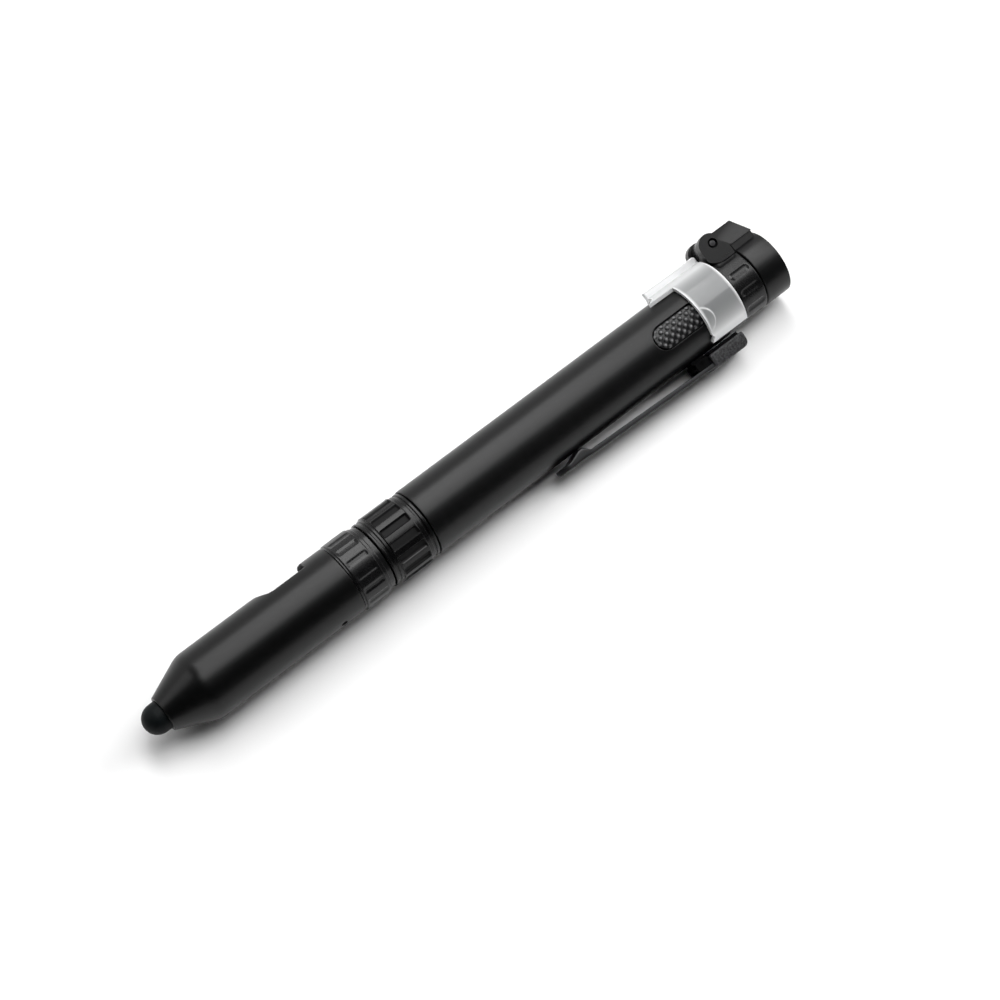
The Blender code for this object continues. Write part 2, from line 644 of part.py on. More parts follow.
def make_coupling():
    """Turned core: stub, cap thread, seat of the grip ring, barrel thread; bored from both ends."""
    thread_x = COUPLING_X - COUPLING_THREAD_LENGTH
    stub_x = thread_x - STUB_LENGTH
    front_groove = COUPLING_THREAD_RADIUS - ORING_GROOVE_DEPTH
    rear_groove = SPIGOT_RADIUS - ORING_GROOVE_DEPTH
    outer = bands(stub_x, [(STUB_LENGTH, STUB_RADIUS),
                           (COUPLING_THREAD_LENGTH - ORING_GROOVE_WIDTH, COUPLING_THREAD_RADIUS),
                           (ORING_GROOVE_WIDTH, front_groove),
                           (COUPLING_RING_LENGTH, RING_SEAT),
                           (SEAM, SPIGOT_RADIUS),
                           (ORING_GROOVE_WIDTH, rear_groove),
                           (REAR_THREAD_LENGTH - SEAM - ORING_GROOVE_WIDTH, SPIGOT_RADIUS)])
    refill_end_x = COUPLING_X + REFILL_DEPTH
    inner = [(stub_x, REFILL_BORE), (refill_end_x, REFILL_BORE), (refill_end_x, 0)]
    core = turned("coupling_body", [(SOCKET_MOUTH_X, 0)] + sleeve(outer, inner), ANODISED)
    socket = rod("socket_cutter", BIT_FLATS / 2 + RUNNING_FIT, (SOCKET_FLOOR_X, 0, 0),
                 (SOCKET_MOUTH_X + OVERRUN, 0, 0), sides=HEXAGON)
    cut(core, socket)
    magnet_x = SOCKET_FLOOR_X - MAGNET_LENGTH - REST_GAP
    cut(core, rod("magnet_bore_cutter", MAGNET_BORE, (magnet_x, 0, 0), (SOCKET_FLOOR_X + OVERLAP, 0, 0)))
    magnet = bands(magnet_x + REST_GAP / 2, [(MAGNET_LENGTH, MAGNET_RADIUS)])
    turned("socket_magnet", spindle(magnet), STEEL, sides=SMALL_SIDES)
    make_oring("front_oring", COUPLING_X - ORING_GROOVE_WIDTH / 2, CAP_THREAD_BORE)
    make_oring("rear_oring", BARREL_X + ORING_GROOVE_WIDTH / 2, BARREL_BORE)
    return stub_x, refill_end_x


def make_ball_pen(stub_x, refill_end_x):
    """Nose screwed over the coupling's stub, with a short refill inside."""
    point_x = CAVITY_X + POINT_CLEARANCE
    mouth_x = point_x + POINT_REACH
    step_x = mouth_x + NOSE_MOUTH_DEPTH
    mouth_bore = POINT_RADIUS + SLIP_FIT
    nose_end_x = stub_x + STUB_LENGTH - REST_GAP
    outer = [(mouth_x, mouth_bore + NOSE_MOUTH_WALL), (mouth_x + NOSE_TAPER, NOSE_RADIUS),
             (nose_end_x, NOSE_RADIUS)]
    inner = [(mouth_x, mouth_bore), (step_x, mouth_bore), (step_x, REFILL_BORE),
             (stub_x - REST_GAP, REFILL_BORE), (stub_x - REST_GAP, STUB_RADIUS + SLIP_FIT),
             (nose_end_x, STUB_RADIUS + SLIP_FIT)]
    turned("pen_nose", sleeve(outer, inner), ANODISED)
    tube_bore = REFILL_RADIUS - REFILL_WALL
    tail = tube_bore - RUNNING_FIT
    shoulder_x = step_x + POINT_RADIUS
    tube_x = point_x + POINT_LENGTH
    point = [(point_x, POINT_RADIUS / 2), (point_x + POINT_RADIUS, POINT_RADIUS), (shoulder_x, POINT_RADIUS),
             (shoulder_x + POINT_RADIUS, tail), (tube_x + POINT_TAIL, tail)]
    turned("refill_point", spindle(point), BRASS, sides=SMALL_SIDES)
    tube_end_x = refill_end_x - REST_GAP - PLUG_FLANGE - RUNNING_FIT
    turned("refill_tube", sleeve([(tube_x, REFILL_RADIUS), (tube_end_x, REFILL_RADIUS)],
                                 [(tube_x, tube_bore), (tube_end_x, tube_bore)]), STEEL, sides=SMALL_SIDES)
    plug = bands(tube_end_x - PLUG_LENGTH, [(PLUG_LENGTH + RUNNING_FIT, tail), (PLUG_FLANGE, REFILL_RADIUS)])
    turned("refill_plug", spindle(plug), GREY_PLASTIC, sides=SMALL_SIDES)


def make_bit():
    """Double-ended hexagon bit, a point at the magnet and a flat blade at the free end."""
    corner = BIT_FLATS / 2 / math.cos(math.pi / HEXAGON)
    outer = [(BIT_X, BIT_POINT_RADIUS), (BIT_X + BIT_POINT - BIT_SHOULDER, BIT_NECK_RADIUS),
             (BIT_X + BIT_POINT, corner), (BIT_END_X - BIT_POINT, corner),
             (BIT_END_X - BIT_POINT + BIT_SHOULDER, BIT_NECK_RADIUS), (BIT_END_X, BIT_NECK_RADIUS)]
    bit = turned("screwdriver_bit", spindle(outer), STEEL, sides=HEXAGON)
    for side in (-1, 1):
        low, high = sorted((side * BLADE_THICKNESS / 2, side * (BIT_FLATS + OVERRUN)))
        cut(bit, box("blade_cutter", (BIT_END_X - BLADE_LENGTH, -BIT_FLATS, low),
                     (BIT_END_X + OVERRUN, BIT_FLATS, high)))


# Barrel with the cells and the switch

def make_barrel():
    outer = [(BARREL_X, BODY_RADIUS - EDGE_CHAMFER), (BARREL_X + EDGE_CHAMFER, BODY_RADIUS),
             (BARREL_END_X - EDGE_CHAMFER, BODY_RADIUS), (BARREL_END_X, BODY_RADIUS - EDGE_CHAMFER)]
    inner = [(BARREL_X, BARREL_BORE), (BARREL_END_X, BARREL_BORE)]
    barrel = turned("barrel", sleeve(outer, inner), ANODISED, sides=BODY_SIDES)
    slot_depth = BODY_RADIUS + OVERRUN - BARREL_BORE / 2
    slot = obround(BUTTON_X, BUTTON_END_X, BUTTON_HALF_WIDTH)
    cut(barrel, plate("button_slot_cutter", slot, slot_depth / 2,
                      place=(0, 0, (BARREL_BORE + slot_depth) / 2)))
    half_length = POST_HALF_LENGTH + SLIP_FIT
    half_width = POST_HALF_WIDTH + SLIP_FIT
    cut(barrel, box("post_slot_cutter", (CLIP_PIVOT_X - half_length, -BODY_RADIUS - OVERRUN, -half_width),
                    (CLIP_PIVOT_X + half_length, -BARREL_BORE / 2, half_width)))


def make_supply():
    """Partition, cone spring, button cells and contact plate, one behind the other."""
    disc = bands(PARTITION_X, [(PARTITION_THICKNESS, SPIGOT_RADIUS)])
    turned("battery_partition", spindle(disc), GREY_PLASTIC)
    radius = BARREL_BORE - CELL_CLEARANCE
    for index in range(CELL_COUNT):
        start = CELLS_X + index * (CELL_LENGTH + CELL_GAP)
        cell = bands(start, [(CELL_CROWN, radius * CELL_CROWN_SHARE), (CELL_LENGTH - CELL_CROWN, radius)])
        turned("cell_" + str(index + 1), spindle(cell), STEEL)
    turned("contact_plate", spindle(bands(CONTACT_X, [(CONTACT_THICKNESS, radius)])), BRASS)
    make_battery_spring()


def make_battery_spring():
    """Cone spring as one unbroken wire; its least gap to itself is measured and printed."""
    count = int(SPRING_TURNS * SPRING_POINTS_PER_TURN) + 1
    length = SPRING_LENGTH - 2 * SPRING_WIRE_RADIUS
    places = []
    for index in range(count):
        share = index / (count - 1)
        angle = 2 * math.pi * SPRING_TURNS * share
        radius = SPRING_LARGE_RADIUS + (SPRING_SMALL_RADIUS - SPRING_LARGE_RADIUS) * share
        along = SPRING_X + SPRING_WIRE_RADIUS + length * share
        places.append(Vector((along, radius * math.cos(angle), radius * math.sin(angle))))
    far = SPRING_POINTS_PER_TURN // 2
    gaps = [(a - b).length for i, a in enumerate(places) for b in places[i + far:]]
    least = min(gaps) - 2 * SPRING_WIRE_RADIUS
    print("least gap of the battery spring to itself, mm:", round(least / MM, 3))
    curve = bpy.data.curves.new("battery_spring", "CURVE")
    curve.dimensions = "3D"
    curve.bevel_depth = SPRING_WIRE_RADIUS
    curve.bevel_resolution = 1
    curve.use_fill_caps = True
    spline = curve.splines.new("POLY")
    spline.points.add(count - 1)
    for point, place in zip(spline.points, places):
        point.co = (*place, 1)
    wire = bpy.data.objects.new("battery_spring", curve)
    PARTS.objects.link(wire)
    curve.materials.append(make_material("battery_spring", STEEL))
    attach(wire, PEN)


def flange_bottom():
    """Height of the underside of the button's flange, which stays under the barrel's bore."""
    half_width = BUTTON_HALF_WIDTH + BUTTON_FLANGE
    return math.sqrt(BARREL_BORE ** 2 - half_width ** 2) - REST_GAP - BUTTON_FLANGE_THICKNESS


def switch_top():
    return flange_bottom() - BUTTON_TRAVEL - PRESS_MARGIN


def make_switch():
    """Switch body, board and carrier, stacked down from the button's flange."""
    switch_z = switch_top() - SWITCH_HEIGHT
    switch = box("switch_body", (BUTTON_MID_X - SWITCH_HALF_SIDE, -SWITCH_HALF_SIDE, switch_z),
                 (BUTTON_MID_X + SWITCH_HALF_SIDE, SWITCH_HALF_SIDE, switch_top()), GREY_PLASTIC)
    stem_z = switch_top() - STEM_ENGAGEMENT
    cut(switch, rod("switch_hole_cutter", STEM_RADIUS + SLIP_FIT,
                    (BUTTON_MID_X, 0, stem_z - BUTTON_TRAVEL - SLIP_FIT),
                    (BUTTON_MID_X, 0, switch_top() + OVERRUN)))
    board_z = switch_z - REST_GAP - BOARD_THICKNESS
    box("switch_board", (CARRIER_X, -BOARD_HALF_WIDTH, board_z),
        (CARRIER_END_X, BOARD_HALF_WIDTH, board_z + BOARD_THICKNESS), BOARD_GREEN)
    body = bands(CARRIER_X, [(CARRIER_END_X - CARRIER_X, SPIGOT_RADIUS)])
    carrier = turned("switch_carrier", spindle(body), GREY_PLASTIC)
    cut(carrier, box("carrier_top_cutter", (CARRIER_X - OVERRUN, -BODY_RADIUS, board_z - REST_GAP),
                     (CARRIER_END_X + OVERRUN, BODY_RADIUS, BODY_RADIUS + OVERRUN)))
    foot = post_foot_top() - POST_FOOT_THICKNESS - REST_GAP
    half_length = POST_FOOT_HALF_LENGTH + REST_GAP
    half_width = POST_FOOT_HALF_WIDTH + REST_GAP
    cut(carrier, box("carrier_pocket_cutter",
                     (CLIP_PIVOT_X - half_length, -BODY_RADIUS - OVERRUN, -half_width),
                     (CLIP_PIVOT_X + half_length, -foot, BODY_RADIUS)))


def make_button():
    bottom = flange_bottom()
    flange_top = bottom + BUTTON_FLANGE_THICKNESS
    low = bottom + OVERLAP
    half_height = (BODY_RADIUS + OVERRUN - low) / 2
    face = obround(BUTTON_X + BUTTON_GAP, BUTTON_END_X - BUTTON_GAP, BUTTON_HALF_WIDTH - BUTTON_GAP)
    key = plate("button", face, half_height, ANODISED_GLOSS, place=(0, 0, low + half_height))
    flange = obround(BUTTON_X - BUTTON_FLANGE, BUTTON_END_X + BUTTON_FLANGE,
                     BUTTON_HALF_WIDTH + BUTTON_FLANGE)
    join(key, plate("button_flange", flange, BUTTON_FLANGE_THICKNESS / 2,
                    place=(0, 0, (bottom + flange_top) / 2)))
    join(key, rod("button_stem", STEM_RADIUS, (BUTTON_MID_X, 0, switch_top() - STEM_ENGAGEMENT),
                  (BUTTON_MID_X, 0, bottom + OVERLAP)))
    crown = bands(BUTTON_X - OVERRUN, [(BUTTON_LENGTH + 2 * OVERRUN, BODY_RADIUS - BUTTON_RECESS)])
    combine(key, turned("button_crown", spindle(crown), sides=BODY_SIDES), "INTERSECT")


# Pocket clip on its post

def post_foot_top():
    """Distance of the top of the post's foot from the pen's axis, just inside the bore."""
    return math.sqrt(BARREL_BORE ** 2 - POST_FOOT_HALF_WIDTH ** 2) - REST_GAP


def make_clip_post():
    """Bracket whose foot lies inside the barrel and whose post comes out through a slot."""
    foot = post_foot_top()
    top = BODY_RADIUS + POST_TOP_LIFT
    bracket = box("clip_bracket", (CLIP_PIVOT_X - POST_HALF_LENGTH, -top, -POST_HALF_WIDTH),
                  (CLIP_PIVOT_X + POST_HALF_LENGTH, -foot + OVERLAP, POST_HALF_WIDTH), BLACK_STEEL)
    join(bracket, box("bracket_foot",
                      (CLIP_PIVOT_X - POST_FOOT_HALF_LENGTH, -foot, -POST_FOOT_HALF_WIDTH),
                      (CLIP_PIVOT_X + POST_FOOT_HALF_LENGTH, POST_FOOT_THICKNESS - foot,
                       POST_FOOT_HALF_WIDTH)))
    reach = CLIP_HALF_WIDTH + OVERRUN
    hole = rod("clip_pin_hole_cutter", CLIP_PIN_RADIUS + RUNNING_FIT, (CLIP_PIVOT_X, CLIP_PIVOT_Y, -reach),
               (CLIP_PIVOT_X, CLIP_PIVOT_Y, reach))
    cut(bracket, hole)
    return hole


def clip_plan(tip_x, pad_x, pad_end_x, reach):
    """Solid with the clip's outline in plan: round tip, straight blade, pad with round corners."""
    corner = THUMB_PAD_CORNER
    width = THUMB_PAD_HALF_WIDTH - corner
    centres = [(pad_x + corner, -width, -math.pi), (pad_end_x - corner, -width, -math.pi / 2),
               (pad_end_x - corner, width, 0), (pad_x + corner, width, math.pi / 2)]
    outline = arc((tip_x + CLIP_HALF_WIDTH, 0), CLIP_HALF_WIDTH, math.pi / 2, 3 * math.pi / 2, CORNER_STEPS)
    outline.append((pad_x, -CLIP_HALF_WIDTH))
    for across, up, start in centres:
        outline += arc((across, up), corner, start, start + math.pi / 2, CORNER_STEPS // 2)
    outline.append((pad_x, CLIP_HALF_WIDTH))
    return plate("clip_plan", outline, reach, frame=CLIP_HINGE, turn=IN_PLAN, place=(0, -reach, 0))


def make_clip(hole):
    """Blade with its contact bump, two lugs on the pin and a wider thumb pad with a relief."""
    tip_x = CLIP_PIVOT_X - CLIP_REACH
    bump_x = tip_x + BUMP_SETBACK
    pad_x = CLIP_PIVOT_X + PAD_AHEAD
    pad_end_x = pad_x + THUMB_PAD_LENGTH
    front = BODY_RADIUS + BLADE_FRONT_LIFT
    rear = BODY_RADIUS + BLADE_REAR_LIFT
    pad_low = BODY_RADIUS + THUMB_PAD_LIFT
    pad_high = pad_low + THUMB_PAD_THICKNESS
    ramp_foot = BODY_RADIUS + TIP_LIFT
    under = [(tip_x, ramp_foot), (bump_x - BUMP_RAMP, ramp_foot), (bump_x, BODY_RADIUS + CONTACT_GAP),
             (bump_x + BUMP_FLAT, BODY_RADIUS + CONTACT_GAP + RUNNING_FIT), (bump_x + BUMP_BACK, front),
             (pad_x, rear)]
    over = [(pad_x, rear + CLIP_THICKNESS), (tip_x, front + CLIP_THICKNESS - (front - ramp_foot) / 2)]
    clip = plate("pocket_clip", [(x, -r) for x, r in under + over], CLIP_HALF_WIDTH, BLACK_STEEL, CLIP_HINGE)
    pad = [(pad_x - OVERLAP, pad_low), (pad_end_x - THUMB_PAD_ROUND, pad_low),
           (pad_end_x, pad_low + THUMB_PAD_ROUND), (pad_end_x, pad_high - THUMB_PAD_ROUND),
           (pad_end_x - THUMB_PAD_ROUND, pad_high), (pad_x - OVERLAP, pad_high)]
    join(clip, plate("clip_pad", [(x, -r) for x, r in pad], THUMB_PAD_HALF_WIDTH, frame=CLIP_HINGE))
    for side, name in ((-1, "rear"), (1, "button")):
        low, high = sorted((side * CLIP_HALF_WIDTH, side * (CLIP_HALF_WIDTH - LUG_THICKNESS)))
        join(clip, box("clip_lug_" + name, (CLIP_PIVOT_X - LUG_HALF_LENGTH, -rear - OVERLAP, low),
                       (CLIP_PIVOT_X + LUG_HALF_LENGTH, -BODY_RADIUS - LUG_LIFT, high), frame=CLIP_HINGE))
    cut(clip, hole)
    combine(clip, clip_plan(tip_x, pad_x, pad_end_x, pad_high), "INTERSECT")
    relief = LEAF_HALF_WIDTH + 2 * REST_GAP
    cut(clip, box("leaf_relief_cutter", (pad_x - OVERRUN, -pad_low - RELIEF_DEPTH, -relief),
                  (pad_end_x - 2 * THUMB_PAD_ROUND, -pad_low + OVERRUN, relief), frame=CLIP_HINGE))
    rod("clip_pivot_pin", CLIP_PIN_RADIUS, (CLIP_PIVOT_X, CLIP_PIVOT_Y, -CLIP_HALF_WIDTH),
        (CLIP_PIVOT_X, CLIP_PIVOT_Y, CLIP_HALF_WIDTH), STEEL)
    leaf_x = CLIP_PIVOT_X + POST_HALF_LENGTH + SLIP_FIT
    leaf_low = BODY_RADIUS + SLIP_FIT
    leaf_end_x = leaf_x + LEAF_LENGTH
    leaf = [(leaf_x, leaf_low), (leaf_end_x, leaf_low + LEAF_RISE),
            (leaf_end_x, leaf_low + LEAF_RISE + LEAF_THICKNESS), (leaf_x, leaf_low + LEAF_THICKNESS)]
    plate("clip_spring", [(x, -r) for x, r in leaf], LEAF_HALF_WIDTH, STEEL)


# Neck collar and folding head

def ear_sweep():
    """How far the square end of an ear reaches from the pin."""
    return max(math.hypot(EAR_LENGTH, EAR_FOOT - EAR_CHAMFER), math.hypot(EAR_LENGTH - EAR_CHAMFER, EAR_FOOT))


def make_neck():
    """Plug in the barrel and fluted flange with the knuckle of the hinge."""
    bore_end_x = NECK_END_X - NECK_WALL
    outer = [(SPIGOT_X, SPIGOT_RADIUS), (NECK_X, SPIGOT_RADIUS), (NECK_X, NECK_RADIUS),
             (NECK_END_X - EDGE_CHAMFER, NECK_RADIUS), (NECK_END_X, NECK_RADIUS - EDGE_CHAMFER),
             (NECK_END_X, 0)]
    inner = [(SPIGOT_X, NECK_BORE_RADIUS), (bore_end_x, NECK_BORE_RADIUS), (bore_end_x, 0)]
    neck = turned("neck_collar", sleeve(outer, inner), ANODISED_GLOSS, sides=BODY_SIDES)
    flute_x = NECK_X + (NECK_LENGTH - NECK_FLUTE_LENGTH) / 2
    under_ears = math.sin(math.pi / 4)
    cut(neck, flutes("neck_flutes", NECK_FLUTES, NECK_FLUTE_TURN, flute_x, NECK_FLUTE_LENGTH,
                     NECK_FLUTE_WIDTH, NECK_RADIUS - NECK_FLUTE_DEPTH,
                     skip=lambda angle: math.sin(angle) > under_ears))
    floor_y = PIN_Y - ear_sweep() - SLIP_FIT
    for side in (-1, 1):
        low, high = sorted((side * KNUCKLE_HALF_WIDTH, side * (BODY_RADIUS + OVERRUN)))
        cut(neck, box("ear_slot_cutter", (NECK_X + NECK_WEB, floor_y, low),
                      (NECK_END_X + OVERRUN, PIN_Y + OVERRUN, high)))
    root_y = NECK_BORE_RADIUS + OVERLAP
    knuckle = arc((PIN_X, PIN_Y), KNUCKLE_RADIUS, 0, math.pi, CORNER_STEPS)
    knuckle += [(PIN_X - KNUCKLE_RADIUS, root_y), (PIN_X + KNUCKLE_RADIUS, root_y)]
    join(neck, plate("hinge_knuckle", knuckle, KNUCKLE_HALF_WIDTH))
    reach = BODY_RADIUS + OVERRUN
    cut(neck, rod("knuckle_hole_cutter", PIN_RADIUS + RUNNING_FIT, (PIN_X, PIN_Y, -reach),
                  (PIN_X, PIN_Y, reach)))


def make_head():
    """Short cylinder with a block on the hinge side whose two ears carry the pin."""
    floor_x = HEAD_X + HEAD_BACK
    outer = [(HEAD_X, 0), (HEAD_X, HEAD_RADIUS - EDGE_CHAMFER), (HEAD_X + EDGE_CHAMFER, HEAD_RADIUS),
             (HEAD_END_X - EDGE_CHAMFER, HEAD_RADIUS), (HEAD_END_X, HEAD_RADIUS - EDGE_CHAMFER),
             (HEAD_END_X, HEAD_BORE)]
    inner = [(floor_x, 0), (floor_x, HEAD_BORE)]
    head = turned("head_housing", cup(outer, inner), ANODISED, HEAD_HINGE, BODY_SIDES)
    top_y = PIN_Y + BLOCK_TOP_LIFT
    start = math.asin(BLOCK_TOP_LIFT / EAR_RADIUS)
    ear = arc((PIN_X, PIN_Y), EAR_RADIUS, start, math.pi, CORNER_STEPS)
    foot_y = PIN_Y - EAR_FOOT
    block_y = PIN_Y - BLOCK_FOOT_DROP
    end_x = PIN_X - EAR_LENGTH
    side = ear + [(end_x, foot_y + EAR_CHAMFER), (end_x + EAR_CHAMFER, foot_y), (HEAD_X - SEAM, foot_y),
                  (HEAD_X - SEAM, block_y), (PIN_X + SLOPE_END, block_y),
                  (PIN_X + SLOPE_END, PIN_Y - SLOPE_FOOT_DROP), (PIN_X + BLOCK_TOP_END, top_y)]
    half_width = KNUCKLE_HALF_WIDTH + SLIP_FIT + EAR_THICKNESS
    join(head, plate("head_block", side, half_width, frame=HEAD_HINGE))
    wall_x = PIN_X + SLOT_WALL_SETBACK
    inside = KNUCKLE_HALF_WIDTH + SLIP_FIT
    cut(head, box("knuckle_slot_cutter", (end_x - OVERRUN, foot_y - OVERRUN, -inside),
                  (wall_x, PIN_Y + EAR_RADIUS + OVERRUN, inside), frame=HEAD_HINGE))
    reach = half_width + OVERRUN
    cut(head, rod("ear_hole_cutter", PIN_RADIUS + RUNNING_FIT, (PIN_X, PIN_Y, -reach), (PIN_X, PIN_Y, reach),
                  frame=HEAD_HINGE))
    rod("hinge_pin", PIN_RADIUS, (PIN_X, PIN_Y, -half_width), (PIN_X, PIN_Y, half_width), STEEL, HEAD_HINGE)
    return floor_x


def make_torch(floor_x):
    """Board, diode, reflector, lens and retaining ring, stacked in the head's bore."""
    board_x = floor_x + REST_GAP
    board_end_x = board_x + LED_BOARD_THICKNESS
    board = bands(board_x, [(LED_BOARD_THICKNESS, INSERT_RADIUS)])
    turned("led_board", spindle(board), BOARD_GREEN, HEAD_HINGE)
    chip_x = board_end_x + RUNNING_FIT
    box("led_chip", (chip_x, -LED_HALF_SIDE, -LED_HALF_SIDE),
        (chip_x + LED_HEIGHT, LED_HALF_SIDE, LED_HALF_SIDE), LED_YELLOW, HEAD_HINGE)
    bezel_end_x = HEAD_END_X - SEAM
    bezel_x = bezel_end_x - BEZEL_LENGTH
    lens_x = bezel_x - SLIP_FIT - LENS_THICKNESS
    reflector_end_x = lens_x - SLIP_FIT
    reflector_x = board_end_x + SLIP_FIT
    depth = reflector_end_x - reflector_x
    mouth = INSERT_RADIUS - REFLECTOR_MOUTH_WALL
    dish = []
    for step in range(REFLECTOR_STEPS + 1):
        share = step / REFLECTOR_STEPS
        dish.append((reflector_x + depth * share ** 2,
                     REFLECTOR_THROAT_RADIUS + (mouth - REFLECTOR_THROAT_RADIUS) * share))
    wall = [(reflector_x, INSERT_RADIUS), (reflector_end_x, INSERT_RADIUS)]
    turned("reflector", sleeve(wall, dish), MIRROR, HEAD_HINGE)
    lens = bands(lens_x, [(LENS_THICKNESS, INSERT_RADIUS)])
    turned("head_lens", spindle(lens), CLEAR_PLASTIC, HEAD_HINGE)
    rim = bands(bezel_x, [(BEZEL_LENGTH, INSERT_RADIUS)])
    mouth = bands(bezel_x, [(BEZEL_LENGTH, INSERT_RADIUS - BEZEL_WIDTH)])
    turned("head_bezel", sleeve(rim, mouth), ANODISED_GLOSS, HEAD_HINGE)


# Plastic guard

def make_guard():
    """Half shell round the barrel, narrow over the button, with a wing and a fin on the hinge side."""
    start = math.pi / 2 - GUARD_START
    end = start - GUARD_SPAN
    section = arc((0, 0), GUARD_OUTER, start, end, GUARD_STEPS)
    section += arc((0, 0), GUARD_INNER, end, start, GUARD_STEPS)
    wing_x = GUARD_END_X - GUARD_WING_WIDTH
    band_x = GUARD_END_X - GUARD_WIDTH
    half_length = GUARD_WING_WIDTH / 2
    guard = plate("switch_guard", section, half_length, CLEAR_PLASTIC, turn=ALONG_PEN,
                  place=(GUARD_END_X - half_length, 0, 0))
    wing_z = GUARD_INNER * math.cos(GUARD_WING_START)
    cut(guard, box("guard_window_cutter", (wing_x - OVERRUN, -GUARD_OUTER - OVERRUN, wing_z),
                   (band_x, GUARD_OUTER + OVERRUN, GUARD_OUTER + OVERRUN)))
    cut(guard, box("guard_heel_cutter", (wing_x - OVERRUN, -GUARD_OUTER - OVERRUN, -GUARD_OUTER - OVERRUN),
                   (band_x, 0, wing_z + OVERLAP)))
    top = GUARD_OUTER + GUARD_FIN_HEIGHT
    root = GUARD_OUTER - OVERLAP
    fin = [(wing_x, root), (GUARD_END_X, root), (GUARD_END_X, top - GUARD_FIN_CORNER),
           (GUARD_END_X - GUARD_FIN_CORNER, top), (wing_x, top)]
    join(guard, plate("guard_fin", fin, GUARD_FIN_THICKNESS / 2))


# Whole pen

def roll_angle():
    """Roll at which the pads of the rings and the lower corner of the thumb pad lie on one plane."""
    drop = BODY_RADIUS + THUMB_PAD_LIFT + THUMB_PAD_THICKNESS
    reach = math.hypot(drop, THUMB_PAD_HALF_WIDTH)
    return math.asin(PAD_RADIUS / reach) - math.atan2(THUMB_PAD_HALF_WIDTH, drop)


def stand_pen():
    """Roll the pen onto its clip and put the origin at the middle of the bottom of its box."""
    PEN.rotation_euler = (roll_angle(), 0, 0)
    bpy.context.view_layer.update()
    graph = bpy.context.evaluated_depsgraph_get()
    corners = []
    for piece in PARTS.objects:
        if piece.type == "EMPTY":
            continue
        shown = piece.evaluated_get(graph)
        mesh = shown.to_mesh()
        corners += [shown.matrix_world @ vertex.co for vertex in mesh.vertices]
        shown.to_mesh_clear()
    low = [min(corner[axis] for corner in corners) for axis in range(3)]
    high = [max(corner[axis] for corner in corners) for axis in range(3)]
    PEN.location = (-(low[0] + high[0]) / 2, -(low[1] + high[1]) / 2, -low[2])
    bpy.context.view_layer.update()
    print("size, mm:", [round((top - bottom) / MM, 3) for top, bottom in zip(high, low)])


def print_places():
    """World places and directions of the joints and of the mounts."""
    place = PEN.matrix_world
    turn = place.to_3x3()
    pull = Vector((0, math.sin(GUARD_START + GUARD_SPAN / 2), math.cos(GUARD_START + GUARD_SPAN / 2)))
    points = {"head pin": (PIN_X, PIN_Y, 0), "clip pin": (CLIP_PIVOT_X, CLIP_PIVOT_Y, 0),
              "stylus end of the pen's axis": (0, 0, 0),
              "head rim": (HEAD_END_X, (HEAD_BORE + HEAD_RADIUS) / 2, 0),
              "bit socket's mouth": (SOCKET_MOUTH_X, 0, 0)}
    for name, point in points.items():
        print("place of the", name, [round(value, 7) for value in place @ Vector(point)])
    directions = {"hinge side": (0, 1, 0), "button side": (0, 0, 1), "guard pull": pull}
    for name, direction in directions.items():
        print("direction of the", name, [round(value, 6) for value in turn @ Vector(direction)])
    print("bit bay from and to, pen mm:", round(BIT_END_X / MM, 3), round(PARTITION_X / MM, 3))
    print("roll, degrees:", round(math.degrees(roll_angle()), 3))


make_front_cap(make_stylus())
make_cap_ring()
make_coupling_ring()
make_ball_pen(*make_coupling())
make_bit()
make_barrel()
make_supply()
make_switch()
make_button()
make_clip(make_clip_post())
make_neck()
make_torch(make_head())
make_guard()
stand_pen()
print_places()
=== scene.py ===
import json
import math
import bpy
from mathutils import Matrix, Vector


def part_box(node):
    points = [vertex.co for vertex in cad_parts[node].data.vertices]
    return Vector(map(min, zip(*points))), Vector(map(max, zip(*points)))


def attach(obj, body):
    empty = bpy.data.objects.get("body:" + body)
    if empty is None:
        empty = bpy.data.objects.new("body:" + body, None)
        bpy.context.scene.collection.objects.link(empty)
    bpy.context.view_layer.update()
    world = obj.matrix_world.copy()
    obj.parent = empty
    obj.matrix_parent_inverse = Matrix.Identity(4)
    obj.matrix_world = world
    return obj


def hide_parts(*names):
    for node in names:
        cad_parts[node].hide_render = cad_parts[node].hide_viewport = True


bl_info = {
    "name": "Multi tool pen",
    "version": (1, 0, 0),
    "blender": (4, 5, 0),
    "location": "3D View > Sidebar > Pen",
    "description": "Surfaces, finishes, floor and light of a multi tool pen, over its packed model",
    "category": "Object",
}

import bmesh
import bpy
import numpy as np
from mathutils import Matrix, Vector

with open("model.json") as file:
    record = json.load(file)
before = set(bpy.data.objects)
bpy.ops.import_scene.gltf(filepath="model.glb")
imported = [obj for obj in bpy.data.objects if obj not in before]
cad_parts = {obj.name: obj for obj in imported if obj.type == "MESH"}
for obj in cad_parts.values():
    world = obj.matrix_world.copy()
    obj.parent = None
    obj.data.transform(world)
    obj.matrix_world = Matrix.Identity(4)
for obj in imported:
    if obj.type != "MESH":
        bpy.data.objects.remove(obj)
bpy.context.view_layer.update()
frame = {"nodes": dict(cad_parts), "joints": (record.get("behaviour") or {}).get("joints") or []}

# The pen's own frame: millimetres along the pen from the stylus, towards the hinge and towards the button
MM = 0.001
PRESS_AXIS = next(joint for joint in frame["joints"] if joint["name"] == "switch_press")["axis"]
ROLL = math.atan2(PRESS_AXIS[1], -PRESS_AXIS[2])
TIP_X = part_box("stylus_tip")[0].x
AXIS_POINT = (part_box("front_oring")[0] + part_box("front_oring")[1]) / 2
MERGE = 2e-7  # metres: corners nearer than this are one

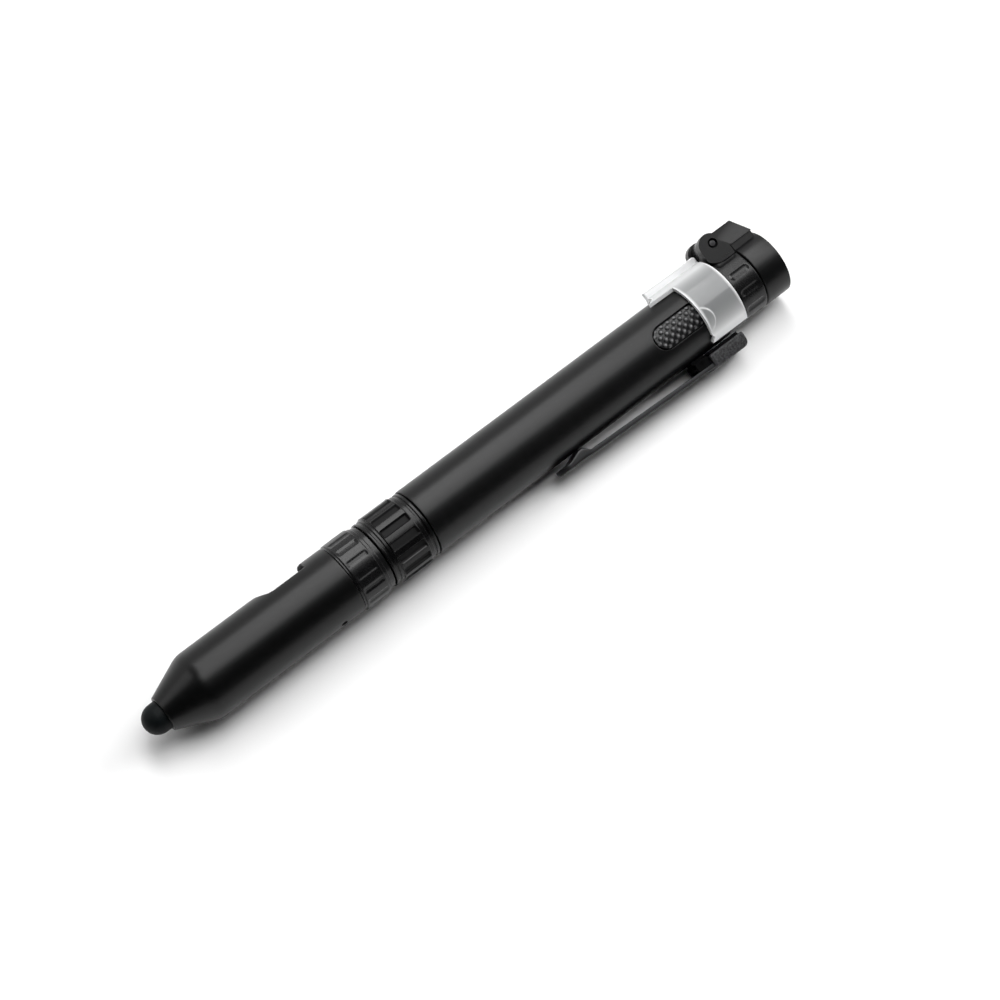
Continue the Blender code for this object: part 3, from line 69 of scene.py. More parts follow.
# Places along the pen, radii and half widths, in millimetres; a profile below is a line of (x, radius)
BODY, BORE = 7.0, 6.0
DOME_RADIUS, SHANK_START, SHANK_END, SHANK_BORE = 2.94, 4.4, 7.07, 1.94
RIM_X, CONE_END, CAP_SHOULDER, CAP_REAR = 4.17, 12.05, 44.9, 52.25
RIM_RADIUS, RIM_BORE, CAP_BORE, THREAD_BORE, RING_SEAT = 3.54, 3.04, 4.5, 5.35, 6.15
HOLDER_X, HOLDER_END, HOLDER_BORE, CAP_THREAD_X = 9.02, 14.0, 2.2, 46.5
NOTCH_START, NOTCH_FLAT, STUD_X, NOTCH_FLOOR = 29.7, 32.4, 40.25, 5.92
STUD_RADIUS, STUD_LENGTH = 0.95, 2.0
VENT_X, VENT_TURN, VENT_RADIUS, VENT_FLOOR = 40.05, math.radians(-72.0), 0.65, 5.6
CAP_RING_X, COUPLING_X, COUPLING_REAR, CORE_END = 45.0, 52.5, 62.6, 69.8
PADS, PAD_RADIUS, STEP_RADIUS, GROOVE_RADIUS, RING_BORE = 15, 7.13, 6.85, 6.6, 6.25
# Start and end of a ring's pads, angle of a hollow, half its width and the width of its slopes
CAP_PADS = (45.45, 50.6, math.radians(11.2), 0.8, 0.62)
COUPLING_PADS = (54.2, 60.6, math.radians(17.0), 0.92, 0.34)
NOSE_X, NOSE_RADIUS, GRIP_X, NOSE_END = 18.4, 4.1, 31.0, 46.75
BIT_START, BIT_END, BIT_FLAT, BIT_CORNER = 61.9, 86.9, 2.0, 2.26
BARREL_X, BARREL_END = 62.85, 138.4
BUTTON_X, BUTTON_END, BUTTON_HALF = 118.9, 131.3, 2.6
NECK_X, NECK_END, NECK_RADIUS, NECK_PLUG_X, KNUCKLE_HALF = 138.65, 144.3, 6.74, 132.05, 2.5
HEAD_X, HEAD_END, HEAD_RADIUS, HEAD_BORE, INSET_RADIUS = 144.55, 150.3, 6.75, 5.4, 5.3
PIN_X, PIN_Y, CRADLE_RADIUS, BELLY_RADIUS = 141.7, 9.0, 4.094, 3.96
EAR_RADIUS, EAR_Z, SLOT_HALF, PIN_RADIUS = 2.49, 4.39, 2.6, 0.64
CLIP_X, CLIP_TIP, CLIP_PAD, PAD_END, CLIP_HALF = 125.9, 90.1, 127.65, 136.05, 2.5
PAD_LOW, PAD_HIGH, PAD_HALF, SPRING_HALF, SPRING_FLOOR = 7.75, 10.63, 3.25, 1.73, 8.6
GUARD_BORE, GUARD_FRONT, GUARD_TONGUE, GUARD_REAR, GUARD_END = 7.2, 129.53, 125.53, 138.0, 138.4
GUARD_FROM, GUARD_TO, FIN_TOP, FIN_HALF = -54, 126, 9.32, 0.7  # the first two in degrees
MARK_X, MARK_TURN, MARK_RADIUS = 128.85, -15.0, 2.85


# Sizes, colours and stage that a user would change

def length(name, description, default):
    """A length that a user can set, in metres."""
    return bpy.props.FloatProperty(name=name, description=description, default=default, unit="LENGTH",
                                   precision=5, min=0.0)


def colour(name, description, default):
    """A colour that a user can set, as linear red, green and blue."""
    return bpy.props.FloatVectorProperty(name=name, description=description, default=default,
                                         subtype="COLOR", size=3, min=0.0, max=1.0)


class PenSizes(bpy.types.PropertyGroup):
    edge_round: length("Edge round", "Radius of the small rounds on turned edges", 0.00015)
    hollow_depth: length("Hollow depth", "Depth of the hollows between the pads of the grip rings", 0.0005)
    stud_height: length("Button studs", "Height of the small studs on the button", 0.00042)
    thread_pitch: length("Thread pitch", "Rise of the threads in one turn", 0.00075)
    guard_thickness: length("Guard thickness", "Wall of the clear guard", 0.00075)


class PenColours(bpy.types.PropertyGroup):
    anodised: colour("Anodised", "Matt black of the barrel and head", (0.0026, 0.0026, 0.0028))
    # The cap's colour is a darker copy of the anodised black: painted shade, for the dimmer light at the front
    # end
    cap: colour("Cap", "Deeper matt black of the front cap", (0.0009, 0.0009, 0.001))
    satin: colour("Satin", "Black of the grip rings and neck", (0.0045, 0.0045, 0.0048))
    rubber: colour("Rubber", "Stylus tip", (0.0032, 0.0048, 0.0053))
    clip: colour("Clip", "Blackened steel of the clip", (0.03, 0.03, 0.031))
    pad: colour("Thumb pad", "Sanded steel of the clip's thumb pad", (0.052, 0.052, 0.054))
    steel: colour("Steel", "Bright steel of pins, bit and refill", (0.52, 0.52, 0.53))
    brass: colour("Brass", "Ball point and contact plate", (0.68, 0.48, 0.2))
    guard: colour("Guard", "Milky clear plastic of the switch guard", (0.226, 0.233, 0.236))


class PenStage(bpy.types.PropertyGroup):
    floor: colour("Floor", "Colour of the floor", (0.93, 0.93, 0.93))
    key: bpy.props.FloatProperty(name="Key light", default=6.1, min=0.0,
                                 description="Brightness of the soft boxes, where 1 is white")
    sky: bpy.props.FloatProperty(name="Sky", description="Brightness of the world behind the pen",
                                 default=0.9, min=0.0)
    lens: bpy.props.FloatProperty(name="Lens", description="Focal length of the camera",
                                  default=92.66, unit="CAMERA", min=1.0)


# Shapes

def place(points):
    """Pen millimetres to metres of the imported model: roll about the pen's length, then shift to its axis."""
    x, y, z = np.moveaxis(np.asarray(points, float), -1, 0)
    c, s = math.cos(ROLL), math.sin(ROLL)
    return np.stack([TIP_X + x * MM, AXIS_POINT.y + (y * c - z * s) * MM,
                     AXIS_POINT.z + (y * s + z * c) * MM], -1)


def direction(vector):
    """A direction of the pen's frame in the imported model's frame."""
    return Vector(place(vector) - place((0, 0, 0))).normalized()


def patch(points, around=True, along=False, keep=None, caps=False):
    """A grid of points, rows by columns, as corners and faces; around joins the last column to the first,
    along the last row to the first, keep masks the faces and caps closes the first and last row."""
    rows, columns = points.shape[:2]
    index = np.arange(rows * columns).reshape(rows, columns)
    ends = [index[0].tolist(), index[-1][::-1].tolist()] if caps else []
    if along:
        index = np.vstack([index, index[:1]])
    if around:
        index = np.hstack([index, index[:, :1]])
    faces = np.stack([index[:-1, :-1], index[:-1, 1:], index[1:, 1:], index[1:, :-1]], -1)
    faces = faces[keep] if keep is not None else faces.reshape(-1, 4)
    return points.reshape(-1, 3), faces.tolist() + ends


def welded(name, corners, faces, outwards=True):
    """A mesh whose meeting corners are merged and whose faces are turned outwards."""
    mesh = bpy.data.meshes.new(name)
    mesh.from_pydata(corners.tolist(), [], faces)
    form = bmesh.new()
    form.from_mesh(mesh)
    bmesh.ops.remove_doubles(form, verts=form.verts, dist=MERGE)
    if outwards:
        bmesh.ops.recalc_face_normals(form, faces=form.faces)
    form.to_mesh(mesh)
    form.free()
    return mesh


def mesh_of(name, patches, sharp=32.0):
    """One mesh of several patches, smooth but for the edges that turn by more than the sharp angle."""
    corners, faces, start = [], [], 0
    for points, quads in patches:
        corners.append(place(points))
        faces += [[corner + start for corner in face] for face in quads]
        start += len(points)
    mesh = welded(name, np.concatenate(corners), faces)
    mesh.shade_smooth()
    mesh.set_sharp_from_angle(angle=math.radians(sharp))
    return mesh


def put(name, data):
    """An object of the scene that holds the data."""
    item = bpy.data.objects.new(name, data)
    bpy.context.scene.collection.objects.link(item)
    return item


def piece(name, patches, look, body, replaces=(), sharp=32.0):
    """A finished piece: its mesh, its finish, the body it rides on and the nodes it stands for; its slot has
    the finish's name."""
    mesh = patches if isinstance(patches, bpy.types.Mesh) else mesh_of(name, patches, sharp)
    item = put(name, mesh)
    mesh.materials.clear()
    mesh.materials.append(finishes()[look])
    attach(item, body)
    if replaces:
        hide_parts(*replaces)
    return item


def pen_points(item):
    """Corners of a piece in the pen's own frame, in millimetres: the roll of place turned back."""
    points = np.empty(len(item.data.vertices) * 3)
    item.data.vertices.foreach_get("co", points)
    x, across, up = (points.reshape(-1, 3) - (TIP_X, AXIS_POINT.y, AXIS_POINT.z)).T / MM
    c, s = math.cos(ROLL), math.sin(ROLL)
    return x, across * c + up * s, up * c - across * s


def store(item, name, values):
    """Keeps a number for each corner of a piece, for its finish to read."""
    item.data.attributes.new(name, "FLOAT", "POINT").data.foreach_set("value", values.astype(np.float32))


def soften(corners, reach, steps=4):
    """Rounds the inner corners of an open line: each is replaced by a parabola between two points set back
    along its legs, with the corner as the middle control point."""
    corners = np.asarray(corners, float)
    middle = corners[1:-1]
    back, ahead = corners[:-2] - middle, corners[2:] - middle
    back_length = np.linalg.norm(back, axis=1, keepdims=True)
    ahead_length = np.linalg.norm(ahead, axis=1, keepdims=True)
    set_back = np.minimum(np.minimum(back_length, ahead_length) * 0.45,
                          np.broadcast_to(np.reshape(reach, (-1, 1)), back_length.shape))
    first = (middle + back / back_length * set_back)[:, None]
    last = (middle + ahead / ahead_length * set_back)[:, None]
    t = np.linspace(0, 1, steps + 1)[None, :, None]
    curve = (1 - t) ** 2 * first + 2 * t * (1 - t) * middle[:, None] + t ** 2 * last
    return np.concatenate([corners[:1], curve.reshape(-1, corners.shape[1]), corners[-1:]])


def soften_loop(corners, reach, steps=4):
    """Rounds every corner of a closed line, as soften does for an open one."""
    corners = np.asarray(corners, float)
    start = (corners[0] + corners[-1]) / 2
    line = soften(np.vstack([start, corners, start]), reach, steps)
    return line[:-1]


def fill(line, step):
    """Adds points along a line so that no stretch of it is longer than the step."""
    line = np.asarray(line, float)
    lengths = np.linalg.norm(np.diff(line, axis=0), axis=1)
    at = np.concatenate([[0], np.cumsum(lengths)])
    counts = np.maximum(1, np.ceil(lengths / step)).astype(int)
    shares = np.concatenate([np.arange(count) / count for count in counts])
    starts = np.repeat(at[:-1], counts)
    spans = np.repeat(lengths, counts)
    samples = np.append(starts + shares * spans, at[-1])
    return np.stack([np.interp(samples, at, line[:, axis]) for axis in range(line.shape[1])], -1)


def fill_loop(outline, step):
    """Fills a closed line, as fill does an open one."""
    return fill(np.vstack([outline, outline[:1]]), step)[:-1]


def circle(columns):
    """Angles of a full turn in equal steps, the last step left open."""
    return np.linspace(0, 2 * np.pi, columns, endpoint=False)


def smooth_step(t):
    """Rises from 0 to 1 with level ends, as 3 t^2 - 2 t^3."""
    t = np.clip(t, 0, 1)
    return t * t * (3 - 2 * t)


def arc(middle, radius, angles):
    """Points of a circle round a middle, at the given angles."""
    return np.stack([middle[0] + radius * np.cos(angles), middle[1] + radius * np.sin(angles)], -1)


def level(x, radius):
    """Profile points at one radius."""
    return np.stack([x, np.full(len(x), radius)], -1)


def stair(*steps):
    """Profile of a stepped bar: places and radii in turn, each changed while the other stays."""
    corners = [steps[:2]]
    for index, value in enumerate(steps[2:]):
        corners.append((corners[-1][0], value) if index % 2 else (value, corners[-1][1]))
    return corners


def bar(start, end, radius):
    """Profile of a plain bar with closed ends."""
    return [(start, 0.0), (start, radius), (end, radius), (end, 0.0)]


def round_axis(x, radius, angle):
    """Points round the pen's axis, angles counted from the button side to the hinge side."""
    return np.stack([x, radius * np.sin(angle), radius * np.cos(angle)], -1)


def turn(profile, columns=96, relief=None):
    """Surface of revolution about the pen's axis: every (x, radius) of the profile goes round a full turn;
    relief(x, radius, angle) gives a new radius."""
    profile = np.asarray(profile, float)
    x, angle = np.broadcast_arrays(profile[:, :1], circle(columns)[None, :])
    radius = np.broadcast_to(profile[:, 1:2], x.shape)
    return round_axis(x, radius if relief is None else relief(x, radius, angle), angle)


def tube(outer, inner, columns=96, relief=None):
    """A turned piece from an outer and an inner profile."""
    return patch(turn(closed(outer, inner), columns, relief), along=True)


def turn_about(profile, origin, axis, columns=32):
    """Surface of revolution of (along, radius) points about a line that is square to the pen."""
    profile, axis = np.asarray(profile, float), np.array(axis, float)
    side = np.cross(axis, (1.0, 0.0, 0.0))
    other = np.cross(axis, side)
    angles = circle(columns)
    ring = np.cos(angles)[:, None] * side + np.sin(angles)[:, None] * other
    return np.array(origin) + profile[:, :1, None] * axis + profile[:, 1:2, None] * ring[None]


def slab(outline, low, high, edge, along_pen=False, levels=()):
    """A flat outline given depth across the pen or along it, with rounded rims: layers of the outline, drawn
    in along its own normals by the edge's quarter circle at both faces, full at the levels between, and both
    faces closed."""
    outline = np.asarray(outline, float)
    ahead = np.roll(outline, -1, 0) - outline
    back = outline - np.roll(outline, 1, 0)
    tangent = sum(leg / np.linalg.norm(leg, axis=1, keepdims=True) for leg in (ahead, back))
    tangent /= np.linalg.norm(tangent, axis=1, keepdims=True)
    area = np.sum(outline[:, 0] * np.roll(outline[:, 1], -1) - np.roll(outline[:, 0], -1) * outline[:, 1])
    inwards = np.stack([-tangent[:, 1], tangent[:, 0]], -1) * np.sign(area)
    a = np.linspace(0, np.pi / 2, 5)
    draw_in = np.concatenate([[edge + 0.05], edge * (1 - np.sin(a)), np.zeros(len(levels)),
                              edge * (1 - np.cos(a)), [edge + 0.05]])
    height = np.concatenate([[low], low + edge * (1 - np.cos(a)), levels,
                             high - edge * (1 - np.sin(a)), [high]])
    layers = outline[None] + inwards[None] * draw_in[:, None, None]
    depth = np.broadcast_to(height[:, None, None], layers.shape[:2] + (1,))
    order = (2, 0, 1) if along_pen else (0, 1, 2)
    return patch(np.concatenate([layers, depth], -1)[..., order], caps=True)


def rounded_bar(x, y, half_y, half_z, power, columns):
    """Bar along the pen: at each x a rounded rectangle |y|^p + |z|^p = 1 round its middle line."""
    c, s = np.cos(circle(columns)), np.sin(circle(columns))
    unit = (np.abs(c) ** power + np.abs(s) ** power) ** (-1 / power)
    x, y, half_y, half_z = (values[:, None] for values in (x, y, half_y, half_z))
    return np.stack(np.broadcast_arrays(x, y + half_y * unit * c, half_z * unit * s), -1)


def closed(outer, inner):
    """One loop of profile points from an outer outline, tip to head, and an inner one, tip to head."""
    return np.vstack([np.asarray(outer, float), np.asarray(inner, float)[::-1]])


def hole_window(x_lines, angle_step, middle, half_length, half_width, outer, inner, blind=False):
    """The rim of an obround hole in a round wall: loops grow from the hole's outline, square to the pen's
    surface, to a window of the wall's own grid, on the outer skin and on the bore; a blind hole is closed
    at the inner radius instead."""
    margin_x, margin_across, edge = 1.2, 0.7, 0.12
    half_columns = math.ceil(math.asin((half_width + margin_across) / outer) / angle_step)
    window = x_lines[np.abs(x_lines - middle[0]) < half_length + margin_x]
    across = np.arange(-half_columns, half_columns + 1) * angle_step
    left, right = window[0], window[-1]
    ahead = np.full(len(window) - 2, across[-1])
    frame_x = np.concatenate([np.full(len(across), right), window[::-1][1:-1], np.full(len(across), left),
                              window[1:-1]])
    frame_a = np.concatenate([across, ahead, across[::-1], -ahead])
    straight = half_length - half_width
    bend = np.linspace(-np.pi / 2, np.pi / 2, len(across))
    run = np.linspace(straight, -straight, len(window))[1:-1]

    def outline(offset):
        """The hole's outline moved out by an offset: a half circle and a straight run, then both again
        turned over."""
        radius = half_width + offset
        x = np.concatenate([straight + radius * np.cos(bend), run])
        y = np.concatenate([radius * np.sin(bend), np.full(len(run), radius)])
        return middle[0] + np.concatenate([x, -x]), np.concatenate([y, -y])

    rows = []
    shares = np.linspace(1, 0, 6)[:-1]
    a = np.linspace(np.pi / 2, 0, 4)
    for radius, sign in ((inner, -1), (outer, 1)):
        hole_x, hole_y = outline(edge)
        hole_a = np.arcsin(hole_y / radius)
        fan = [(frame_x * s + hole_x * (1 - s), frame_a * s + hole_a * (1 - s), np.full(len(hole_x), radius))
               for s in shares]
        rim = []
        for angle in a:
            hole_x, hole_y = outline(edge * (1 - math.cos(angle)))
            height = radius - sign * edge * (1 - math.sin(angle))
            rim.append((hole_x, np.arcsin(hole_y / height), np.full(len(hole_x), height)))
        side = rim[-1:] if blind and sign < 0 else fan + rim
        rows += side if sign < 0 else side[::-1]
    x, angle, radius = np.moveaxis(np.array(rows), 1, 0)
    corners, faces = patch(round_axis(x, radius, angle + middle[1]))
    return (corners, faces + [list(range(len(frame_x)))] if blind else faces), (left, right, across[-1])


def outside_window(x_rows, angles, middle, window):
    """Faces of a wall's grid that lie outside a hole's window."""
    left, right, reach = window
    x = (x_rows[:-1] + x_rows[1:]) / 2
    angle = angles + (angles[1] - angles[0]) / 2 - middle[1]
    angle = np.mod(angle + np.pi, 2 * np.pi) - np.pi
    inside = ((x > left) & (x < right))[:, None] & (np.abs(angle) < reach)[None]
    return ~inside


# Finishes

def node_tree(material):
    """A material's node tree and its shader."""
    material.use_nodes = True
    return material.node_tree, material.node_tree.nodes["Principled BSDF"]


def feed(tree, socket, value):
    """Links a socket from another one, or sets its own value."""
    if isinstance(value, bpy.types.NodeSocket):
        tree.links.new(value, socket)
    else:
        socket.default_value = value


def add(tree, kind, *values, out=0, **settings):
    """Adds a node and returns one of its outputs, or all when out is None. Values fill its sockets in order
    and settings fill them by name, but with a leading underscore they are the node's properties."""
    node = tree.nodes.new("ShaderNode" + kind)
    for key, value in settings.items():
        if key.startswith("_"):
            setattr(node, key[1:], value)
        else:
            feed(tree, node.inputs[key.replace("_", " ")], value)
    for index, value in enumerate(values):
        feed(tree, node.inputs[index], value)
    return node.outputs if out is None else node.outputs[out]


def node_group(name, scales, outputs):
    """A node group with a vector and some numbers going in and numbers coming out; returns it with the
    sockets that bring the first and take the others."""
    group = bpy.data.node_groups.new(name, "ShaderNodeTree")
    group.interface.new_socket("Vector", in_out="INPUT", socket_type="NodeSocketVector")
    for label in scales:
        group.interface.new_socket(label, in_out="INPUT", socket_type="NodeSocketFloat")
    for label in outputs:
        group.interface.new_socket(label, in_out="OUTPUT", socket_type="NodeSocketFloat")
    return group, group.nodes.new("NodeGroupInput").outputs, group.nodes.new("NodeGroupOutput").inputs


def fine_texture():
    """Group: a fine grain stretched by the coordinates fed in, and a broad mottle, as masks and a height, the
    mottle plus 0.7 times the grain."""
    group, given, result = node_group("fine_texture", ("Grain Scale", "Mottle Scale"),
                                      ("Grain", "Mottle", "Height"))
    grain, mottle = (add(group, "TexNoise", Vector=given["Vector"], Scale=given[scale], Detail=detail,
                         Roughness=roughness)
                     for scale, detail, roughness in (("Grain Scale", 3.0, 0.6), ("Mottle Scale", 4.0, 0.55)))
    height = add(group, "Math", grain, 0.7, mottle, _operation="MULTIPLY_ADD")
    for label, socket in (("Grain", grain), ("Mottle", mottle), ("Height", height)):
        feed(group, result[label], socket)
    return group


def specks():
    """Group: sparse small specks, such as dust on a matt surface, as a mask: the cells' middles nearer than
    the size, in the fifth of the cells that are picked at random."""
    group, given, result = node_group("specks", ("Scale", "Size"), ("Mask",))
    cells = add(group, "TexVoronoi", out=None, Vector=given["Vector"], Scale=given["Scale"])
    near = add(group, "Math", cells["Distance"], given["Size"], _operation="LESS_THAN")
    picked = add(group, "Math", add(group, "SeparateColor", cells["Color"]), 0.8, _operation="GREATER_THAN")
    feed(group, result["Mask"], add(group, "Math", near, picked, _operation="MULTIPLY"))
    return group


def shared(make):
    """A node group by its maker's name, made the first time."""
    return bpy.data.node_groups.get(make.__name__) or make()


def finish(name, tint, roughness, metallic=0.0, grain=9000.0, stretch=(1, 1, 1), mottle=260.0, spread=0.06,
           variation=0.25, bump=0.12, depth=0.00002, dust=0.0, **constants):
    """A finish with grain: base colour, roughness and bump vary with the fine texture; dust adds specks.
    Stretch squeezes the grain along the pen, across it or round it, as turning or brushing does."""
    material = bpy.data.materials.new(name)
    tree, shader = node_tree(material)
    where = add(tree, "TexCoord", out="Object")
    mapped = add(tree, "Mapping", Vector=where, Rotation=(-ROLL, 0, 0), Scale=stretch)
    texture = add(tree, "Group", out=None, _node_tree=shared(fine_texture), Vector=mapped, Grain_Scale=grain,
                  Mottle_Scale=mottle)
    band = {"From_Min": 0.3, "From_Max": 0.7}
    tone = add(tree, "MapRange", Value=texture["Mottle"], To_Min=1 - variation, To_Max=1 + variation, **band)
    base = add(tree, "VectorMath", tint, _operation="SCALE", Scale=tone)
    if dust:
        marks = add(tree, "Group", _node_tree=shared(specks), Vector=where, Scale=700.0, Size=0.06)
        amount = add(tree, "Math", marks, dust, _operation="MULTIPLY")
        base = add(tree, "Mix", out="Result", _data_type="RGBA", Factor=amount, A=base,
                   B=(0.35, 0.35, 0.34, 1))
    rough = add(tree, "MapRange", Value=texture["Grain"], To_Min=roughness - spread,
                To_Max=roughness + spread, **band)
    relief = add(tree, "Bump", Strength=bump, Distance=depth, Height=texture["Height"])
    sockets = {"Base Color": base, "Roughness": rough, "Normal": relief, "Metallic": metallic, **constants}
    for socket, value in sockets.items():
        feed(tree, shader.inputs[socket.replace("_", " ")], value)
    return material


def marked(material, name, socket, value):
    """Mixes another value into a finish's colour or roughness where the mesh's attribute of that name is
    high."""
    tree, shader = node_tree(material)
    target = shader.inputs[socket]
    kind = "RGBA" if socket == "Base Color" else "FLOAT"
    mask = add(tree, "Attribute", out="Fac", _attribute_name=name)
    feed(tree, target, add(tree, "Mix", out="Result", _data_type=kind, Factor=mask,
                           A=target.links[0].from_socket, B=value))
    return material


def guard_plastic(tint):
    """Milky clear plastic: mostly scattered light, some seen through, with a paler colour painted along its
    cut edges and where it turns from the view, as painted highlight.
    """
    material = finish("guard_plastic", tint, 0.5, grain=900.0, mottle=60.0, spread=0.05, variation=0.015,
                      bump=0.012, depth=0.00003, Transmission_Weight=0.25, IOR=1.46, Coat_Weight=0.6,
                      Coat_Roughness=0.12)
    # The attribute "edge" carries the painted highlight of the guard's edges
    return marked(material, "edge", "Base Color", (0.97, 0.975, 0.98, 1))


FINISHES = {}


def finishes():
    """Every finish by the name of its slot, made once."""
    if FINISHES:
        return FINISHES
    look = bpy.context.scene.pen_colours
    round_the_pen = (3.0, 0.35, 0.35)
    turned = {"grain": 7000, "stretch": round_the_pen}
    polished = {"grain": 6000, "stretch": round_the_pen, "bump": 0.1}
    made = [
        finish("anodised", look.anodised, 0.34, bump=0.1, dust=0.03, Specular_IOR_Level=0.28, **turned),
        # Painted shade: the cap's finish is the anodised one with a darker colour
        finish("shaded_cap_anodised", look.cap, 0.34, bump=0.1, dust=0.02, Specular_IOR_Level=0.28, **turned),
        finish("anodised_satin", look.satin, 0.27, bump=0.08, dust=0.02, Specular_IOR_Level=0.32, **turned),
        marked(finish("ring_anodised", look.anodised, 0.27, bump=0.08, Specular_IOR_Level=0.27, **turned),
               "sunk", "Roughness", 0.7),
        # button_black: a paler colour painted on the studs' tops, a painted highlight in place of lit tops
        # over shaded flats
        marked(finish("button_black", (0.004, 0.004, 0.0045), 0.32, grain=7000, bump=0.08,
                      Specular_IOR_Level=0.4), "worn", "Base Color", (0.24, 0.24, 0.245, 1)),
        # A darker copy of the clip's steel: painted shade for the parts that sit in the shade between barrel
        # and thumb pad
        finish("painted_shade_black", (0.0018, 0.0018, 0.002), 0.5, grain=5000, bump=0.1, Specular_IOR_Level=0.03),
        finish("rubber", look.rubber, 0.5, grain=5000, mottle=500, variation=0.3, bump=0.25,
               Specular_IOR_Level=0.1, Sheen_Weight=0.006, Sheen_Roughness=0.4),
        finish("black_steel", look.clip, 0.33, 0.75, grain=5000, stretch=(0.3, 2, 2), bump=0.12),
        finish("sanded_steel", look.pad, 0.5, 0.6, grain=5200, mottle=2600, variation=0.7, bump=0.9,
               depth=0.00006),
        finish("steel", look.steel, 0.26, 1.0, variation=0.08, **polished),
        finish("brass", look.brass, 0.3, 1.0, variation=0.1, **polished),
        finish("inner_plastic", (0.2, 0.2, 0.205), 0.5, grain=4000, variation=0.1, bump=0.2),
        finish("board", (0.02, 0.15, 0.06), 0.45, grain=3000, variation=0.3, bump=0.15),
        finish("mirror", (0.86, 0.86, 0.87), 0.08, 1.0, grain=3000, spread=0.02, variation=0.02, bump=0.03),
        finish("phosphor", (0.85, 0.72, 0.18), 0.55, grain=8000, variation=0.12, bump=0.3),
        finish("lens_plastic", (0.97, 0.98, 0.99), 0.05, grain=1500, spread=0.02, variation=0.01, bump=0.02,
               Transmission_Weight=1.0, IOR=1.49),
        guard_plastic(look.guard),
    ]
    FINISHES.update({material.name.split(".")[0]: material for material in made})
    return FINISHES


# Pieces of the front end

def pen_sizes():
    """The sizes that a user would change."""
    return bpy.context.scene.pen_sizes


def edge_mm():
    """Radius of the small rounds on turned edges."""
    return pen_sizes().edge_round / MM


def along_pen(node):
    """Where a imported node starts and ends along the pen, in millimetres from the stylus."""
    low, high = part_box(node)
    return (low.x - TIP_X) / MM, (high.x - TIP_X) / MM


def dome_profile(start, radius, steps=28):
    """Quarter circle from a pole on the axis out to a radius."""
    a = np.linspace(0, np.pi / 2, steps)
    return np.stack([start + radius * (1 - np.cos(a)), radius * np.sin(a)], -1)


class PEN_OT_stylus(bpy.types.Operator):
    """Rubber dome of the stylus, turned from a quarter circle and a straight shank"""
    bl_idname = "pen.stylus"
    bl_label = "Stylus tip"

    def execute(self, context):
        bore_x = 1.97
        shank = [(SHANK_START, DOME_RADIUS), (SHANK_END, DOME_RADIUS)]
        outer = np.vstack([dome_profile(0.0, DOME_RADIUS), shank])
        inner = [(bore_x, 0.0), (bore_x, SHANK_BORE), (SHANK_END, SHANK_BORE)]
        grid = turn(closed(fill(outer, 0.5), inner), 96)
        piece("stylus_dome", [patch(grid)], "rubber", "cap", ["stylus_tip"])
        return {"FINISHED"}


def notch_relief(x, radius, angle):
    """Lowers the tube to the opener's floor: the smooth lesser of the tube's radius and a flat plane's height
    over the cosine from the hinge side; the plane ramps down, runs level and ends in a wall. The smooth
    lesser is minus the log of the summed exponentials of minus both, over the sharpness."""
    from_hinge = np.cos(angle - np.pi / 2)
    ramp = np.interp(x, [NOTCH_START, NOTCH_FLAT - 0.5, NOTCH_FLAT + 0.5, STUD_X - 0.06, STUD_X + 0.02],
                     [BODY, NOTCH_FLOOR + 0.14, NOTCH_FLOOR, NOTCH_FLOOR, BODY + 0.3])
    plane = np.where(from_hinge > 0.3, ramp / np.maximum(from_hinge, 0.3), 99.0)
    sharpness, far, wall = 28.0, 12, 5.0
    low = -np.log(sum(np.exp(-sharpness * np.minimum(reach, far)) for reach in (radius, plane))) / sharpness
    inside = (x > NOTCH_START - 0.8) & (x < STUD_X + 0.1) & (radius > wall)
    return np.where(inside, np.minimum(radius, low), radius)


class PEN_OT_front_cap(bpy.types.Operator):
    """Cap with its cone, the opener's notch, the vent hole and the thread inside"""
    bl_idname = "pen.front_cap"
    bl_label = "Front cap"

    def execute(self, context):
        edge = edge_mm()
        nose = soften([(RIM_X, RIM_BORE), (RIM_X, RIM_RADIUS), (CONE_END, BODY), (NOTCH_START - 1.5, BODY)],
                      [edge, 1.1], 8)
        x_lines = np.concatenate([np.arange(NOTCH_START - 1.4, STUD_X - 0.3, 0.12),
                                  np.arange(STUD_X - 0.3, STUD_X + 0.2, 0.02),
                                  np.arange(STUD_X + 0.25, CAP_SHOULDER - 0.3, 0.3)])
        shoulder = soften([(CAP_SHOULDER - 0.3, BODY), (CAP_SHOULDER, BODY), (CAP_SHOULDER, RING_SEAT),
                           (CAP_REAR - 0.2, RING_SEAT), (CAP_REAR, RING_SEAT - 0.2)], [edge, 0.02, 0.05], 4)
        outer = np.vstack([fill(nose, 0.6)[:-1], level(x_lines, BODY), shoulder])
        inner = soften(stair(RIM_X, RIM_BORE, HOLDER_X, HOLDER_BORE, HOLDER_END, CAP_BORE, CAP_THREAD_X,
                             THREAD_BORE), 0.1, 2)
        thread_span = (CAP_THREAD_X + 0.1, CAP_REAR - 0.3, THREAD_BORE)
        inner = np.vstack([inner[1:], thread_rows(*thread_span), [(CAP_REAR, THREAD_BORE + 0.2)]])
        loop = closed(outer, inner)
        columns = 240
        grid = turn(loop, columns, notch_relief)
        bore_start = len(outer)
        grid[bore_start:] = turn(loop[bore_start:], columns, inner_thread(*thread_span))
        middle = (VENT_X, VENT_TURN)
        vent, window = hole_window(x_lines, 2 * math.pi / columns, middle, VENT_RADIUS, VENT_RADIUS, BODY,
                                   VENT_FLOOR, blind=True)
        keep = outside_window(np.append(loop[:, 0], loop[0, 0]), circle(columns), middle, window)
        keep[bore_start:] = True
        piece("cap_shell", [patch(grid, along=True, keep=keep), vent], "shaded_cap_anodised", "cap", ["front_cap"])
        return {"FINISHED"}


def thread_rows(start, end, radius):
    """Profile points close enough together to show a thread."""
    return level(np.arange(start, end, 0.07), radius)


